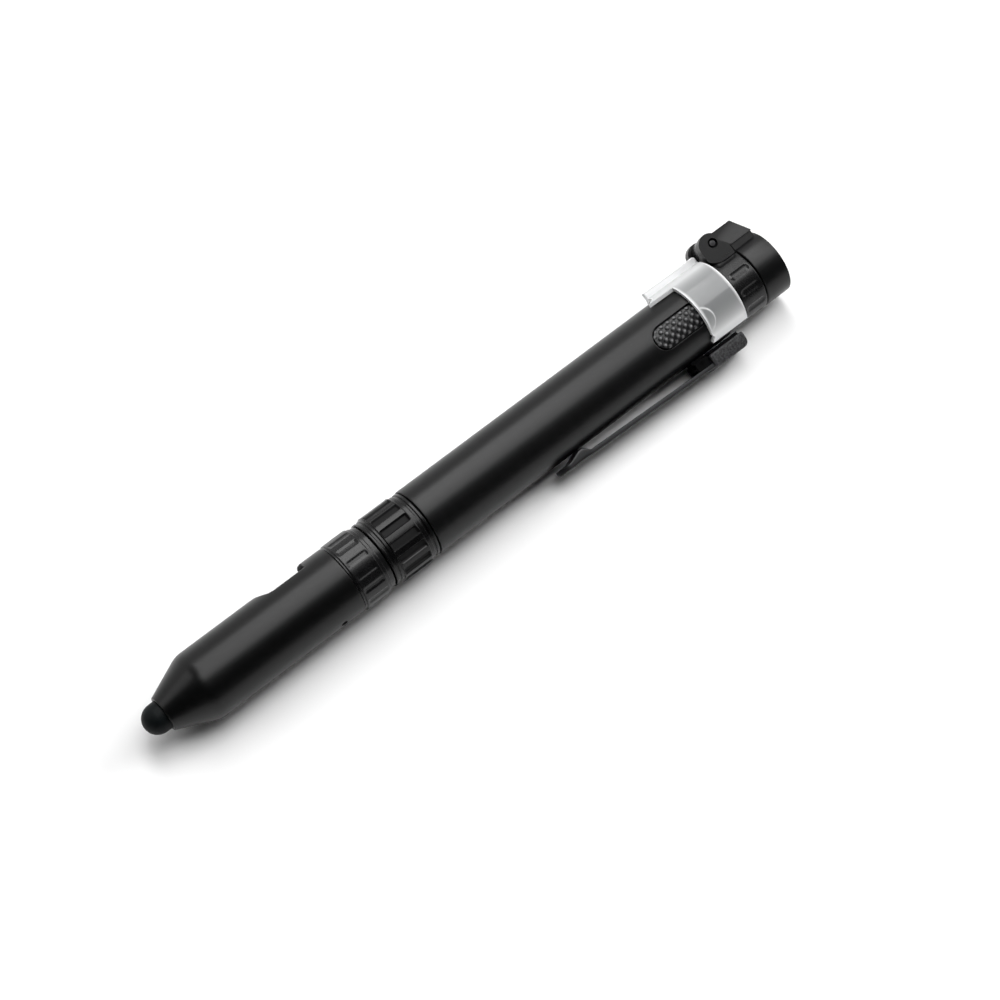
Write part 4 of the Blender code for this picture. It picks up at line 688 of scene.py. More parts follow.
def thread_wave(x, angle, start, end):
    """Height of a thread from 0 to 1: a flat-topped wave that climbs one pitch a turn and fades at both
    ends."""
    pitch = pen_sizes().thread_pitch / MM
    phase = np.mod(x / pitch - angle / (2 * np.pi), 1.0)
    wave = np.clip(1.35 - np.abs(phase - 0.5) * 4.4, 0, 1)
    fade = np.clip((x - start) / 0.5, 0, 1) * np.clip((end - x) / 0.5, 0, 1)
    return wave * fade


def inner_thread(start, end, radius, depth=0.3):
    """Relief of a thread cut into a bore: between its crests the bore widens by 0.6 of the depth."""
    def relief(x, base, angle):
        """The wider radius, only where the bore has the thread's."""
        inside = (x >= start) & (x <= end) & (np.abs(base - radius) < 0.3)
        return np.where(inside, base + depth * (1 - thread_wave(x, angle, start, end)) * 0.6, base)
    return relief


def outer_thread(start, end, depth=0.32):
    """Relief of a thread cut into a bar: between its crests the bar narrows by the depth."""
    def relief(x, base, angle):
        """The narrower radius."""
        inside = (x >= start) & (x <= end)
        return np.where(inside, base - depth * (1 - thread_wave(x, angle, start, end)), base)
    return relief


class PEN_OT_opener_stud(bpy.types.Operator):
    """Steel stud of the bottle opener, a short bar with a domed end"""
    bl_idname = "pen.opener_stud"
    bl_label = "Opener stud"

    def execute(self, context):
        crown = dome_profile(0.0, STUD_RADIUS, 16)
        crown = np.stack([STUD_LENGTH - crown[:, 0], crown[:, 1]], -1)
        profile = np.vstack([crown, [(0.1, STUD_RADIUS), (0.0, STUD_RADIUS - 0.1), (0.0, 0.0)]])
        grid = turn_about(profile, (STUD_X, BODY - 0.05 - STUD_LENGTH, 0), (0, 1, 0), 48)
        piece("opener_pin", [patch(grid)], "black_steel", "cap", ["opener_stud"])
        return {"FINISHED"}


# Grip rings

def pad_relief(pads_x, pads_end, first, half, slope, hollow):
    """Hollows between pads: each is a flat-floored trough with sloping sides and ends, sunk by the product of
    a smooth step across it and one along it."""
    def relief(x, radius, angle):
        """The radius less the depth at that place."""
        pitch = 2 * np.pi / PADS
        across = (np.mod(angle - first + pitch / 2, pitch) - pitch / 2) * BODY
        middle = (pads_x + pads_end) / 2
        reach = (pads_end - pads_x) / 2 - 0.12
        along = np.abs(x - middle)
        depth = smooth_step((half - np.abs(across)) / slope) * smooth_step((reach - along) / slope)
        on_pads = (x > pads_x - 0.01) & (x < pads_end + 0.01) & (radius > STEP_RADIUS - 0.01)
        return np.where(on_pads, radius - depth * hollow, radius)
    return relief


def grip_ring(name, node, bands, start, pads, body, look, share=1.0):
    """A ring turned from bands of (width, radius), with rounded steps and hollows between its pads, of a
    share of the full depth; the mesh keeps how far each corner is sunk."""
    hollow = pen_sizes().hollow_depth / MM * share
    widths, radii = np.array(bands).T
    stops = start + np.concatenate([[0], np.cumsum(widths)])
    corners = np.stack([np.repeat(stops, 2)[1:-1], np.repeat(radii, 2)], -1)
    corners = np.vstack([[(stops[0], RING_BORE)], corners, [(stops[-1], RING_BORE)]])
    outer = fill(soften(corners, edge_mm() * 0.8, 4), 0.13)
    inner = level([stops[0] + 0.02, stops[-1] - 0.02], RING_BORE)
    item = piece(name, [tube(outer, inner, PADS * 40, pad_relief(*pads, hollow))], look, body, [node])
    x, y, z = pen_points(item)
    radius = np.hypot(y, z)
    on_pads = (x > pads[0]) & (x < pads[1]) & (radius > RING_BORE + 0.15)
    store(item, "sunk", np.clip((PAD_RADIUS - 0.12 - radius) / 0.15, 0, 1) * on_pads)


class PEN_OT_grip_rings(bpy.types.Operator):
    """Padded rings of the cap and of the coupling"""
    bl_idname = "pen.grip_rings"
    bl_label = "Grip rings"

    def execute(self, context):
        cap = [(0.45, STEP_RADIUS), (5.15, PAD_RADIUS), (0.7, STEP_RADIUS), (0.95, GROOVE_RADIUS)]
        grip_ring("cap_ring", "cap_grip_ring", cap, CAP_RING_X, CAP_PADS, "cap", "anodised_satin", 0.3)
        coupling = [(0.5, STEP_RADIUS), (0.6, GROOVE_RADIUS), (0.6, STEP_RADIUS), (6.4, PAD_RADIUS),
                    (0.9, STEP_RADIUS), (0.5, GROOVE_RADIUS), (0.6, STEP_RADIUS)]
        grip_ring("coupling_ring", "coupling_grip_ring", coupling, COUPLING_X, COUPLING_PADS, "coupling",
                  "ring_anodised")
        return {"FINISHED"}


# Coupling, ball pen and bit

def hexagon(half_flat, angle):
    """Radius of a hexagon: half its width over flats, over the cosine from the middle of the nearest flat."""
    return half_flat / np.cos(np.mod(angle + np.pi / 6, np.pi / 3) - np.pi / 6)


class PEN_OT_seals(bpy.types.Operator):
    """Two rubber rings in the coupling's grooves: a small circle carried round the pen's axis"""
    bl_idname = "pen.seals"
    bl_label = "Seals"

    def execute(self, context):
        wire = 0.28
        for name, node, bore in (("front_seal", "front_oring", THREAD_BORE),
                                 ("rear_seal", "rear_oring", BORE)):
            middle = (sum(along_pen(node)) / 2, bore - 0.05 - wire)
            ring = turn(arc(middle, wire, circle(16)), 72)
            piece(name, [patch(ring, along=True)], "rubber", "coupling", [node])
        return {"FINISHED"}


class PEN_OT_coupling(bpy.types.Operator):
    """Turned core with a thread at both ends and the hexagon socket for the bit"""
    bl_idname = "pen.coupling"
    bl_label = "Coupling"

    def execute(self, context):
        front, seat, neck = COUPLING_X - 5.6, COUPLING_X - 1.0, BARREL_X + 1.0
        stub, bore = front - 3.8, 1.6
        bore_end, socket_x, flat, mouth = 56.0, 61.8, 2.05, 2.32
        outer = soften([(stub, bore)] + stair(stub, 3.0, front, 5.25, seat, 4.7, COUPLING_X, RING_SEAT),
                       0.12, 3)
        rear = soften([(COUPLING_REAR, RING_SEAT)] + stair(COUPLING_REAR, 5.9, BARREL_X, 5.35, neck, 5.9,
                                                           CORE_END, mouth), 0.12, 3)
        outer = fill(np.vstack([outer, rear]), 0.07)
        inner = [(bore_end, 0.0), (bore_end, bore), (stub, bore)]
        socket = [(CORE_END, mouth), (CORE_END - 0.1, mouth - 0.1), (socket_x, mouth - 0.1), (socket_x, 0.0)]
        front_thread = outer_thread(front + 0.2, COUPLING_X - 1.3)
        rear_thread = outer_thread(BARREL_X + 1.3, CORE_END - 0.3)

        def threads(x, base, angle):
            """Both threads, each on the radii it is cut into."""
            front_part = np.where(base > 5.0, front_thread(x, base, angle), base)
            return np.where(base > 5.6, rear_thread(x, base, angle), front_part)

        def six_flats(x, base, angle):
            """Six flats seen from the axis, in place of the socket's circle, and a wider mouth."""
            flats = hexagon(flat, angle)
            rim = np.where(base > 2.3, np.maximum(flats + 0.06, mouth), base)
            return np.where((base > 2.1) & (x < CORE_END - 0.05), flats, rim)

        hole = turn(fill(socket, 0.6), 96, six_flats)
        shell = turn(np.vstack([fill(inner, 1.5), outer[1:]]), 96, threads)
        shell[-1] = hole[0]
        piece("coupling_core", [patch(shell), patch(hole)], "anodised", "coupling", ["coupling_body"])
        return {"FINISHED"}


class PEN_OT_ball_pen(bpy.types.Operator):
    """Nose, ball point, refill tube and plug"""
    bl_idname = "pen.ball_pen"
    bl_label = "Ball pen"

    def execute(self, context):
        wide, grooved = NOSE_RADIUS, NOSE_RADIUS - 0.15
        taper = soften([(NOSE_X, 0.6), (NOSE_X, 1.25), (NOSE_X + 9.0, wide), (GRIP_X, wide)], [0.1, 1.5], 8)
        grips = [(GRIP_X, wide)]
        for start in GRIP_X + 0.4 + 0.9 * np.arange(4):
            grips += [(start, wide), (start + 0.12, grooved), (start + 0.38, grooved), (start + 0.5, wide)]
        grips += [(NOSE_END - 0.15, wide), (NOSE_END, grooved)]
        outer = np.vstack([taper[:-1], soften(grips, 0.05, 2)])
        inner = stair(NOSE_X, 0.6, 20.5, 1.6, 42.95, 3.1, NOSE_END)
        piece("nose_sleeve", [tube(fill(outer, 0.8), inner)], "anodised", "coupling", ["pen_nose"])
        ball_x, point_end = 16.0, 25.0
        ball = dome_profile(ball_x, 0.25, 8)
        point = soften(np.vstack([ball[-1:], [(ball_x + 0.7, 0.38), (ball_x + 1.3, 0.5), (ball_x + 5.0, 0.5),
                                              (ball_x + 5.5, 1.1), (point_end, 1.1)]]), 0.12, 3)
        piece("ball_point", [patch(turn(np.vstack([ball, point[1:], [(point_end, 0.0)]]), 48))], "brass",
              "coupling", ["refill_point"])
        start, end = along_pen("refill_tube")
        bore, wide = 1.15, 1.5
        outer = soften([(start, bore), (start, wide), (start + 3.0, wide), (start + 3.3, 1.43),
                        (start + 3.6, wide), (end, wide), (end, bore)], 0.06, 3)
        piece("ink_tube", [tube(fill(outer, 1.5), level([start, end], bore), 48)], "steel", "coupling",
              ["refill_tube"])
        return {"FINISHED"}


class PEN_OT_driver_bit(bpy.types.Operator):
    """Double-ended hexagon bit: the lesser of six flats, a cone at each end and two flats of the blade"""
    bl_idname = "pen.driver_bit"
    bl_label = "Driver bit"

    def execute(self, context):
        start, end, columns, clear = BIT_START, BIT_END, 120, 9.0
        cross_end, blade_start = start + 3.2, end - 3.6
        lines = np.unique(np.concatenate([np.linspace(start, start + 4, 34),
                                          np.linspace(start + 4, end - 4.4, 12),
                                          np.linspace(end - 4.4, end, 40)]))

        def relief(x, base, angle):
            """The least of the six flats, the cones, the blade's flats and the slots of the cross."""
            c, s = np.abs(np.cos(angle)), np.abs(np.sin(angle))
            flats = np.minimum(hexagon(BIT_FLAT, angle), BIT_CORNER)
            cone = np.interp(x, [start, start + 0.3, start + 2.6, start + 3.6,
                                 blade_start, end - 2.6, end - 0.1, end],
                             [0.45, 0.75, 1.6, 2.4, 2.4, 1.6, 1.6, 1.5])
            thin = np.interp(x, [blade_start, end - 2.4, end], [2.4, 0.5, 0.4])
            blade = np.where(x > blade_start, thin / np.maximum(c, 0.05), clear)
            cross = np.interp(x, [start, start + 2.2, cross_end], [0.34, 0.52, 2.4])
            slots = np.where(x < cross_end, cross / np.maximum(np.minimum(s, c), 0.1), clear)
            return np.minimum(np.minimum(flats, cone), np.minimum(blade, slots))

        poles = [np.repeat([[[x, 0.0, 0.0]]], columns, 1) for x in (start, end)]
        grid = np.concatenate([poles[0], turn(level(lines, 3.0), columns, relief), poles[1]])
        piece("hex_bit", [patch(grid)], "steel", "bit", ["screwdriver_bit"], sharp=25.0)
        return {"FINISHED"}


# Barrel and switch

class PEN_OT_barrel(bpy.types.Operator):
    """Barrel tube with the rim of the button's slot and the thread in its mouth"""
    bl_idname = "pen.barrel"
    bl_label = "Barrel"

    def execute(self, context):
        edge, columns = edge_mm() * 1.4, 160
        middle = ((BUTTON_X + BUTTON_END) / 2, 0.0)
        half = (BUTTON_END - BUTTON_X) / 2
        near = np.arange(middle[0] - half - 1.5, middle[0] + half + 1.6, 0.4)
        lines = np.concatenate([np.arange(BARREL_X + 1.0, near[0] - 1.0, 3.0), near,
                                np.arange(near[-1] + 1.0, BARREL_END - 0.6, 1.0)])
        slot, window = hole_window(lines, 2 * math.pi / columns, middle, half, BUTTON_HALF, BODY, BORE)
        front = soften([(BARREL_X, BORE + 0.25), (BARREL_X, BODY), (lines[0], BODY)], edge, 5)
        rear = soften([(lines[-1], BODY), (BARREL_END, BODY), (BARREL_END, BORE + 0.15)], edge, 5)
        outer = np.vstack([front[:-1], level(lines, BODY), rear[1:]])
        thread_span = (BARREL_X + 1.4, BARREL_X + 7.6, BORE)
        inner = np.vstack([[(BARREL_X + 0.25, BORE), (BARREL_X + 1.3, BORE)], thread_rows(*thread_span),
                           level(lines[lines > BARREL_X + 8.0], BORE), [(BARREL_END - 0.15, BORE)]])
        loop = closed(outer, inner)
        grid = turn(loop, columns, inner_thread(*thread_span, 0.25))
        keep = outside_window(np.append(loop[:, 0], loop[0, 0]), circle(columns), middle, window)
        piece("barrel_tube", [patch(grid, along=True, keep=keep), slot], "anodised", "barrel", ["barrel"])
        return {"FINISHED"}


def stud_heights(x, y):
    """Height from 0 to 1 of round studs in staggered rows: (1 - (distance / reach)^2)^2 from the nearest
    point of two interleaved lattices."""
    pitch, row, reach = 1.6, 1.68, 0.56
    first_x, middle_y = BUTTON_X + 1.53, 0.37

    def stud(shift_x, shift_y):
        """The studs of one lattice, moved by a shift."""
        along = np.mod(x - first_x + shift_x + pitch / 2, pitch) - pitch / 2
        across = np.mod(y - middle_y + shift_y + row / 2, row) - row / 2
        return np.clip(1 - (along ** 2 + across ** 2) / reach ** 2, 0, 1) ** 2
    return np.maximum(stud(0, 0), stud(pitch / 2, row / 2))


class PEN_OT_button(bpy.types.Operator):
    """Push button: a piece of the barrel's surface with an obround outline and small round studs"""
    bl_idname = "pen.button"
    bl_label = "Button"

    def execute(self, context):
        gap, crown_radius, rim_round, foot_z = 0.3, BODY - 0.3, 0.16, 5.0
        start, end, half = BUTTON_X + gap, BUTTON_END - gap, BUTTON_HALF - gap
        bend = half * (1 - np.cos(np.linspace(0, np.pi / 2, 60)))
        x = np.concatenate([start + bend, np.linspace(start + half, end - half, 190)[1:-1], end - bend[::-1]])
        to_end = np.minimum(np.minimum(x - start, end - x), half)
        width = np.sqrt(np.maximum(half ** 2 - (half - to_end) ** 2, 1e-9))
        across = np.linspace(-1, 1, 121)
        plan_x = np.broadcast_to(x[:, None], (len(x), len(across)))
        plan_y = width[:, None] * across[None]
        to_rim = half - np.hypot(plan_x - np.clip(plan_x, start + half, end - half), plan_y)
        rim = np.clip(to_rim / 0.2, 0, 1)
        fade = np.clip((to_rim - 0.18) / 0.3, 0, 1)
        studs = pen_sizes().stud_height / MM * stud_heights(plan_x, plan_y) * fade
        up = np.sqrt(crown_radius ** 2 - plan_y ** 2) - rim_round * (1 - np.sqrt(1 - (1 - rim) ** 2)) + studs
        top = np.stack([plan_x, plan_y, up], -1)
        rim_line = np.concatenate([top[:, -1], top[::-1, 0][1:-1]])
        foot = rim_line.copy()
        foot[:, 2] = foot_z
        side = patch(np.stack([rim_line, foot]))
        floor = (foot, [list(range(len(foot)))])
        left, right, reach = BUTTON_X - 0.6, BUTTON_END + 0.6, BUTTON_HALF + 0.6
        plate = soften_loop([(left, -reach), (left, reach), (right, reach), (right, -reach)], 3.1, 16)
        flange = slab(plate, 4.28, 4.92, 0.08)
        stem = turn_about(bar(2.88, 4.4, 0.9), ((BUTTON_X + BUTTON_END) / 2, 0, 0), (0, 0, 1))
        item = piece("button_key", [patch(top, around=False), side, floor, flange, patch(stem)],
                     "button_black", "button", ["button"], 40.0)
        x, y, z = pen_points(item)
        # Painted highlight: the studs' tops get the paler colour, the flats between them stay dark
        store(item, "worn", stud_heights(x, y) ** 2 * (z > BODY - 0.75))
        return {"FINISHED"}


# Clip

class PEN_OT_clip(bpy.types.Operator):
    """Spring clip: a blade with its inward bump, lugs on the pin and a sanded thumb pad"""
    bl_idname = "pen.clip"
    bl_label = "Pocket clip"

    def execute(self, context):
        tip, end, half = CLIP_TIP, CLIP_PAD + 0.3, CLIP_HALF
        bump = tip + 5.4
        x = np.concatenate([tip + half * (1 - np.cos(np.linspace(0, np.pi / 2, 18))),
                            np.linspace(tip + half, end, 150)[1:]])
        fine = np.linspace(tip - 2, end + 2, 900)
        raw = np.interp(fine, [tip, bump - 2.7, bump, bump + 1.0, bump + 2.2, end],
                        [8.05, 8.05, BODY, 7.05, 8.4, 9.35])
        window = np.hanning(17) / np.hanning(17).sum()
        under = np.interp(x, fine, np.convolve(np.pad(raw, 8, mode="edge"), window, mode="valid"))
        over = np.interp(x, [tip, end], [9.2, 10.3])
        reach = np.minimum(x - tip, half)
        half_z = np.sqrt(np.maximum(half ** 2 - (half - reach) ** 2, 1e-8))
        lift = np.clip(reach / 0.35, 0.02, 1)
        half_y = (over - under) / 2 * np.sqrt(1 - (1 - lift) ** 2)
        blade = rounded_bar(x, -(under + over) / 2, half_y, half_z, 7.0, 64)
        piece("clip_blade", [patch(blade, caps=True)], "black_steel", "clip", ["pocket_clip"])
        front, rear = CLIP_X - 1.6, CLIP_X + 1.6
        lug = soften_loop([(front, -9.3), (rear, -9.4), (rear, -7.5), (front, -7.5)], 0.35, 4)
        lug_inside = half - 0.85
        lugs = [slab(lug, low, high, 0.08) for low, high in ((-half, -lug_inside), (lug_inside, half))]
        sweep, web_y = np.radians(np.linspace(22, 13.1, 7)), -8.8
        for side in (1, -1):
            web = np.vstack([arc((0, 0), PAD_LOW, math.pi - side * sweep),
                             [(web_y, side * 1.78), (web_y, side * 2.85)]])
            lugs.append(slab(web, CLIP_PAD + 0.4, CLIP_PAD + 7.5, 0.06, along_pen=True))
        # The lugs and webs take the darker finish, painted shade for the gap between barrel and pad
        piece("clip_lugs", lugs, "painted_shade_black", "clip", ())
        side = soften_loop([(CLIP_PAD, -PAD_LOW), (PAD_END, -PAD_LOW), (PAD_END, -PAD_HIGH),
                            (CLIP_PAD, -PAD_HIGH)], [0.5, 0.5, 1.2, 0.5], 8)
        inside, outside = SPRING_HALF - 0.03, SPRING_HALF + 0.03
        corners, faces = slab(fill_loop(side, 0.35), -PAD_HALF, PAD_HALF, 0.3,
                              levels=(-outside, -inside, inside, outside))
        x, y, z = corners.T
        y = np.where(np.abs(z) < SPRING_HALF, np.minimum(y, -SPRING_FLOOR), y)
        narrowing = 0.22 * ((-y - PAD_LOW) / (PAD_HIGH - PAD_LOW)) ** 2
        pad = (np.stack([x, y, z * (1 - narrowing)], -1), faces)
        piece("thumb_pad", [pad], "sanded_steel", "clip", ())
        return {"FINISHED"}


# Neck, head and torch

def neck_relief(x, radius, angle):
    """Flutes in the flange, and on the hinge side a cradle for the ears, an arc about the pin that runs out
    level: there the radius is the least of the flange's own and the larger of the cradle's height over
    cosine and the knuckle's half width over sine."""
    result, flutes, half_run, half_width, depth = radius, 11, 1.5, 0.85, 0.24
    for index in range(flutes):
        centre = math.radians(12.5) + 2 * math.pi * index / flutes
        if math.sin(centre) > math.sin(math.radians(55)):
            continue
        across = (np.mod(angle - centre + np.pi, 2 * np.pi) - np.pi) * NECK_RADIUS
        run = np.maximum(np.abs(x - (NECK_X + NECK_END) / 2) - half_run, 0)
        share = np.clip(1 - np.hypot(run, across) ** 2 / half_width ** 2, 0, 1)
        result = result - np.where(radius > 6.3, depth * share, 0)
    from_hinge = angle - np.pi / 2
    c, s = np.cos(from_hinge), np.abs(np.sin(from_hinge))
    cradle = PIN_Y - np.sqrt(CRADLE_RADIUS ** 2 - np.clip(x - PIN_X, -3.5, 0) ** 2)
    floor = np.where(c > 0.3, cradle / np.maximum(c, 0.3), 99)
    wall = KNUCKLE_HALF / np.maximum(s, 0.02)
    return np.where(x > NECK_X + 0.34, np.minimum(result, np.maximum(floor, wall)), result)


class PEN_OT_neck(bpy.types.Operator):
    """Fluted neck flange with the knuckle of the head's hinge"""
    bl_idname = "pen.neck"
    bl_label = "Neck"

    def execute(self, context):
        x = np.concatenate([NECK_X + np.array([0.05, 0.15, 0.33, 0.35]),
                            np.linspace(NECK_X + 0.45, NECK_END - 0.3, 70)])
        plug, knuckle_radius, knuckle_foot = 5.9, 2.1, 4.4
        outer = np.vstack([[(NECK_PLUG_X, plug), (NECK_X - 0.01, plug), (NECK_X, NECK_RADIUS - 0.08)],
                           level(x, NECK_RADIUS),
                           soften([(NECK_END - 0.25, NECK_RADIUS), (NECK_END - 0.08, NECK_RADIUS - 0.02),
                                   (NECK_END, NECK_RADIUS - 0.3), (NECK_END, 4.8)], 0.1, 4)[1:]])
        flange = tube(outer, stair(NECK_PLUG_X, 4.2, 142.6, 0.0, NECK_END), 360, neck_relief)
        knuckle = np.vstack([arc((PIN_X, PIN_Y), knuckle_radius, np.linspace(0, np.pi, 24)),
                             [(PIN_X - knuckle_radius, knuckle_foot),
                              (PIN_X + knuckle_radius, knuckle_foot)]])
        piece("neck_flange", [flange, slab(knuckle, -KNUCKLE_HALF, KNUCKLE_HALF, 0.15)], "anodised_satin",
              "barrel", ["neck_collar"])
        return {"FINISHED"}


def solid(name, patches):
    """A loose object of a mesh, for joining and cutting."""
    return put(name, mesh_of(name, patches))


def prism(name, outline, low, high, along_pen=False):
    """A flat outline carried straight across the pen, or along it."""
    order = (2, 0, 1) if along_pen else (0, 1, 2)
    rows = [np.column_stack([outline, np.full(len(outline), at)])[:, order] for at in (low, high)]
    return solid(name, [patch(np.array(rows), caps=True)])


def cuboid(name, x, y, half):
    """A prism with a rectangle of two places along the pen and two heights."""
    return prism(name, [(x[0], y[0]), (x[1], y[0]), (x[1], y[1]), (x[0], y[1])], -half, half)


def bevel(item, width, angle):
    """Rounds the edges of an object that turn by more than an angle in degrees."""
    change = item.modifiers.new("edges", "BEVEL")
    change.width = width
    change.segments = 3
    change.limit_method = "ANGLE"
    change.angle_limit = math.radians(angle)
    return change


def cut_and_join(item, others):
    """Applies Booleans of (object, operation), rounds the edges and removes the loose objects; returns the
    finished mesh."""
    for other, operation in others:
        change = item.modifiers.new(other.name, "BOOLEAN")
        change.object = other
        change.operation = operation
        change.solver = "EXACT"
    bevel(item, 0.00014, 38).harden_normals = True
    graph = bpy.context.evaluated_depsgraph_get()
    mesh = bpy.data.meshes.new_from_object(item.evaluated_get(graph))
    for loose in [other for other, operation in others] + [item]:
        bpy.data.objects.remove(loose)
    return mesh


def about_pin(profile):
    """Surface of revolution of (along, radius) points about the hinge pin."""
    return patch(turn_about(profile, (PIN_X, PIN_Y, 0), (0, 0, 1), 40))


class PEN_OT_head(bpy.types.Operator):
    """Torch head: a short cup joined to the hinge block with its two ears"""
    bl_idname = "pen.head"
    bl_label = "Head"

    def execute(self, context):
        outside = [(HEAD_X, 0.0), (HEAD_X, HEAD_RADIUS - 0.25), (HEAD_X + 0.15, HEAD_RADIUS - 0.04),
                   (HEAD_X + 0.3, HEAD_RADIUS), (HEAD_END, HEAD_RADIUS)]
        inside = [(HEAD_X + 0.85, 0.0), (HEAD_X + 0.85, HEAD_BORE), (HEAD_END, HEAD_BORE)]
        cup = solid("head_cup", [patch(turn(closed(outside, inside)))])
        pin, middle = (PIN_X, PIN_Y), (PIN_X - 0.6, PIN_Y - 0.2)
        top, foot, block, block_end = PIN_Y + 1.65, PIN_Y - 3.3, PIN_Y - 2.3, PIN_X + 8.0
        end = middle[0] - EAR_RADIUS
        ear_start = math.asin((top - middle[1]) / EAR_RADIUS)
        ear = arc(middle, EAR_RADIUS, np.linspace(ear_start, np.pi, 24))
        heel = arc(pin, 4.0, np.radians(np.linspace(216, 234, 5)))
        heel = heel[(heel[:, 0] > end) & (heel[:, 1] > foot)]
        back = [(PIN_X - 2.2, foot), (NECK_END, foot), (NECK_END, block), (block_end, block),
                (block_end, PIN_Y - 2.15), (PIN_X + 5.5, top)]
        body = prism("head_block", np.vstack([ear, [(end, PIN_Y - 2.4)], heel, back]), -EAR_Z, EAR_Z)
        root = cuboid("head_root", (HEAD_X + 0.02, block_end - 0.05), (4.0, block + 0.3), 4.1)
        corner_x, belly_z = NECK_END - 0.02, 4.3
        under = arc(pin, BELLY_RADIUS, np.radians(np.linspace(228, 270, 10)))
        belly = prism("head_belly", np.vstack([[(corner_x, PIN_Y - 1), (PIN_X - 2.4, PIN_Y - 1)], under,
                                               [(corner_x, PIN_Y - BELLY_RADIUS)]]), -belly_z, belly_z)
        half_lip = [(block + 0.42, 4.35), (block + 0.14, 4.52), (block + 0.02, 4.52)]
        lip = prism("head_lip", half_lip + [(y, -z) for y, z in reversed(half_lip)], NECK_END + 0.3,
                    block_end - 0.25, along_pen=True)
        slot = cuboid("head_slot", (end - 2, NECK_END), (foot - 2, PIN_Y + 4), SLOT_HALF)
        hole = solid("head_hole", [about_pin(bar(-6, 6, 1.0))])
        mesh = cut_and_join(cup, [(body, "UNION"), (root, "UNION"), (belly, "UNION"), (lip, "UNION"),
                                  (slot, "DIFFERENCE"), (hole, "DIFFERENCE")])
        piece("head_shell", mesh, "anodised", "head", ["head_housing"])
        half_rod = [(-4.2, 0.0), (-4.2, PIN_RADIUS), (-SLOT_HALF, PIN_RADIUS), (-SLOT_HALF, 1.0)]
        rod = soften(half_rod + [(-along, radius) for along, radius in reversed(half_rod)],
                     [0.14, 0.02, 0.02, 0.02, 0.02, 0.14], 4)
        piece("hinge_rod", [about_pin(rod)], "black_steel", "head", ["hinge_pin"])
        return {"FINISHED"}


class PEN_OT_torch(bpy.types.Operator):
    """Reflector, lens and retaining ring in the head's mouth"""
    bl_idname = "pen.torch"
    bl_label = "Torch"

    def execute(self, context):
        start, end = along_pen("reflector")
        share = np.linspace(0, 1, 28)
        dish = np.stack([start + (end - start) * share ** 2, 1.5 + 3.4 * share], -1)
        piece("reflector_dish", [tube(level([start, end], INSET_RADIUS), dish)], "mirror", "head",
              ["reflector"])
        start, end = along_pen("head_lens")
        disc = soften(bar(start, end, INSET_RADIUS), 0.08, 3)
        piece("lens_disc", [patch(turn(fill(disc, 1.0)))], "lens_plastic", "head", ["head_lens"])
        start, end = along_pen("head_bezel")
        ring = soften([(start, 4.6), (start, INSET_RADIUS), (end, INSET_RADIUS), (end, 4.9),
                       (start + 0.15, 4.6)], 0.08, 3)
        piece("bezel_ring", [patch(turn(ring, 120), along=True)], "anodised_satin", "head", ["head_bezel"])
        return {"FINISHED"}


# Guard

class PEN_OT_guard(bpy.types.Operator):
    """Clear guard: half a tube whose front edge is a function of the angle, with a fin on the hinge side"""
    bl_idname = "pen.guard"
    bl_label = "Switch guard"

    def execute(self, context):
        inner, outer = GUARD_BORE, GUARD_BORE + pen_sizes().guard_thickness / MM
        degrees = np.concatenate([np.linspace(GUARD_FROM, 53, 84)[:-1], np.linspace(53, 64, 44)[:-1],
                                  np.linspace(64, GUARD_TO, 56)])
        angles = np.radians(degrees)
        front = np.interp(degrees, [GUARD_FROM, -52, -47, -44, -42, 57.5, 59.3, 62, 66, 90, GUARD_TO],
                          [129.3, 129.35, 129.75, 129.9, GUARD_FRONT, GUARD_FRONT, 123.7, 124.3, 125.3,
                           GUARD_TONGUE, 126.9])
        share = np.linspace(0, 1, 80)
        x_share = np.concatenate([share, share[::-1]])
        radius = np.repeat([outer, inner], len(share))[:, None]
        x = front[None] + (GUARD_REAR - front)[None] * x_share[:, None]
        from_mark = np.hypot(x - MARK_X, (angles - math.radians(MARK_TURN)) * outer)
        rise = 0.13 * smooth_step((MARK_RADIUS - from_mark) / 0.22)
        radius = radius + np.where(radius > inner + 0.1, rise, 0)
        shell = patch(round_axis(x, radius, angles).transpose(1, 0, 2), caps=True)
        fin = soften([(GUARD_TONGUE, 7.85), (GUARD_TONGUE, FIN_TOP), (GUARD_REAR, FIN_TOP), (GUARD_END, 9.0),
                      (GUARD_END, 7.4)], [0.12, 0.15, 0.15], 5)
        item = piece("guard_shell", [shell, slab(fin, -FIN_HALF, FIN_HALF, 0.18)], "guard_plastic", "guard",
                     ["switch_guard"], 45.0)
        bevel(item, 0.00016, 50)
        paint_edges(item, front, degrees)
        return {"FINISHED"}


def paint_edges(item, front, degrees):
    """Stores how much painted highlight each corner of the guard gets, from 0 to 1, a paler colour in place of
    the glow of its edges: the most of its nearness to the rim, its turn away from the viewer's side, the
    mark's outline and the fin's crest."""
    x, y, z = pen_points(item)
    angle, radius = np.degrees(np.arctan2(y, z)), np.hypot(y, z)
    near = np.minimum(x - np.interp(angle, degrees, front), GUARD_REAR - x)
    near = np.minimum(near, np.radians(np.minimum(angle - GUARD_FROM, GUARD_TO - angle)) * 7.5)
    clear_turn = 8
    upper = angle > clear_turn
    # Painted light: paler where the guard turns away from the view, most on the lower side, in place of its
    # glow at grazing angles
    painted_grazing_light = np.minimum((np.abs(angle - clear_turn) / np.where(upper, 62, 50)) ** 3, np.where(upper, 0.6, 1.0))
    edge = np.maximum(np.clip(1.15 - near / 0.55, 0, 1), painted_grazing_light)
    mark = np.hypot(x - MARK_X, np.radians(angle - MARK_TURN) * 8)
    outline = np.clip(1 - np.abs(mark - MARK_RADIUS + 0.1) / 0.3, 0, 1)
    edge = np.maximum(edge, 0.6 * outline * (radius > 7.6))
    store(item, "edge", np.where((radius > 8.15) & (np.abs(z) < 0.8), 1.0, edge))


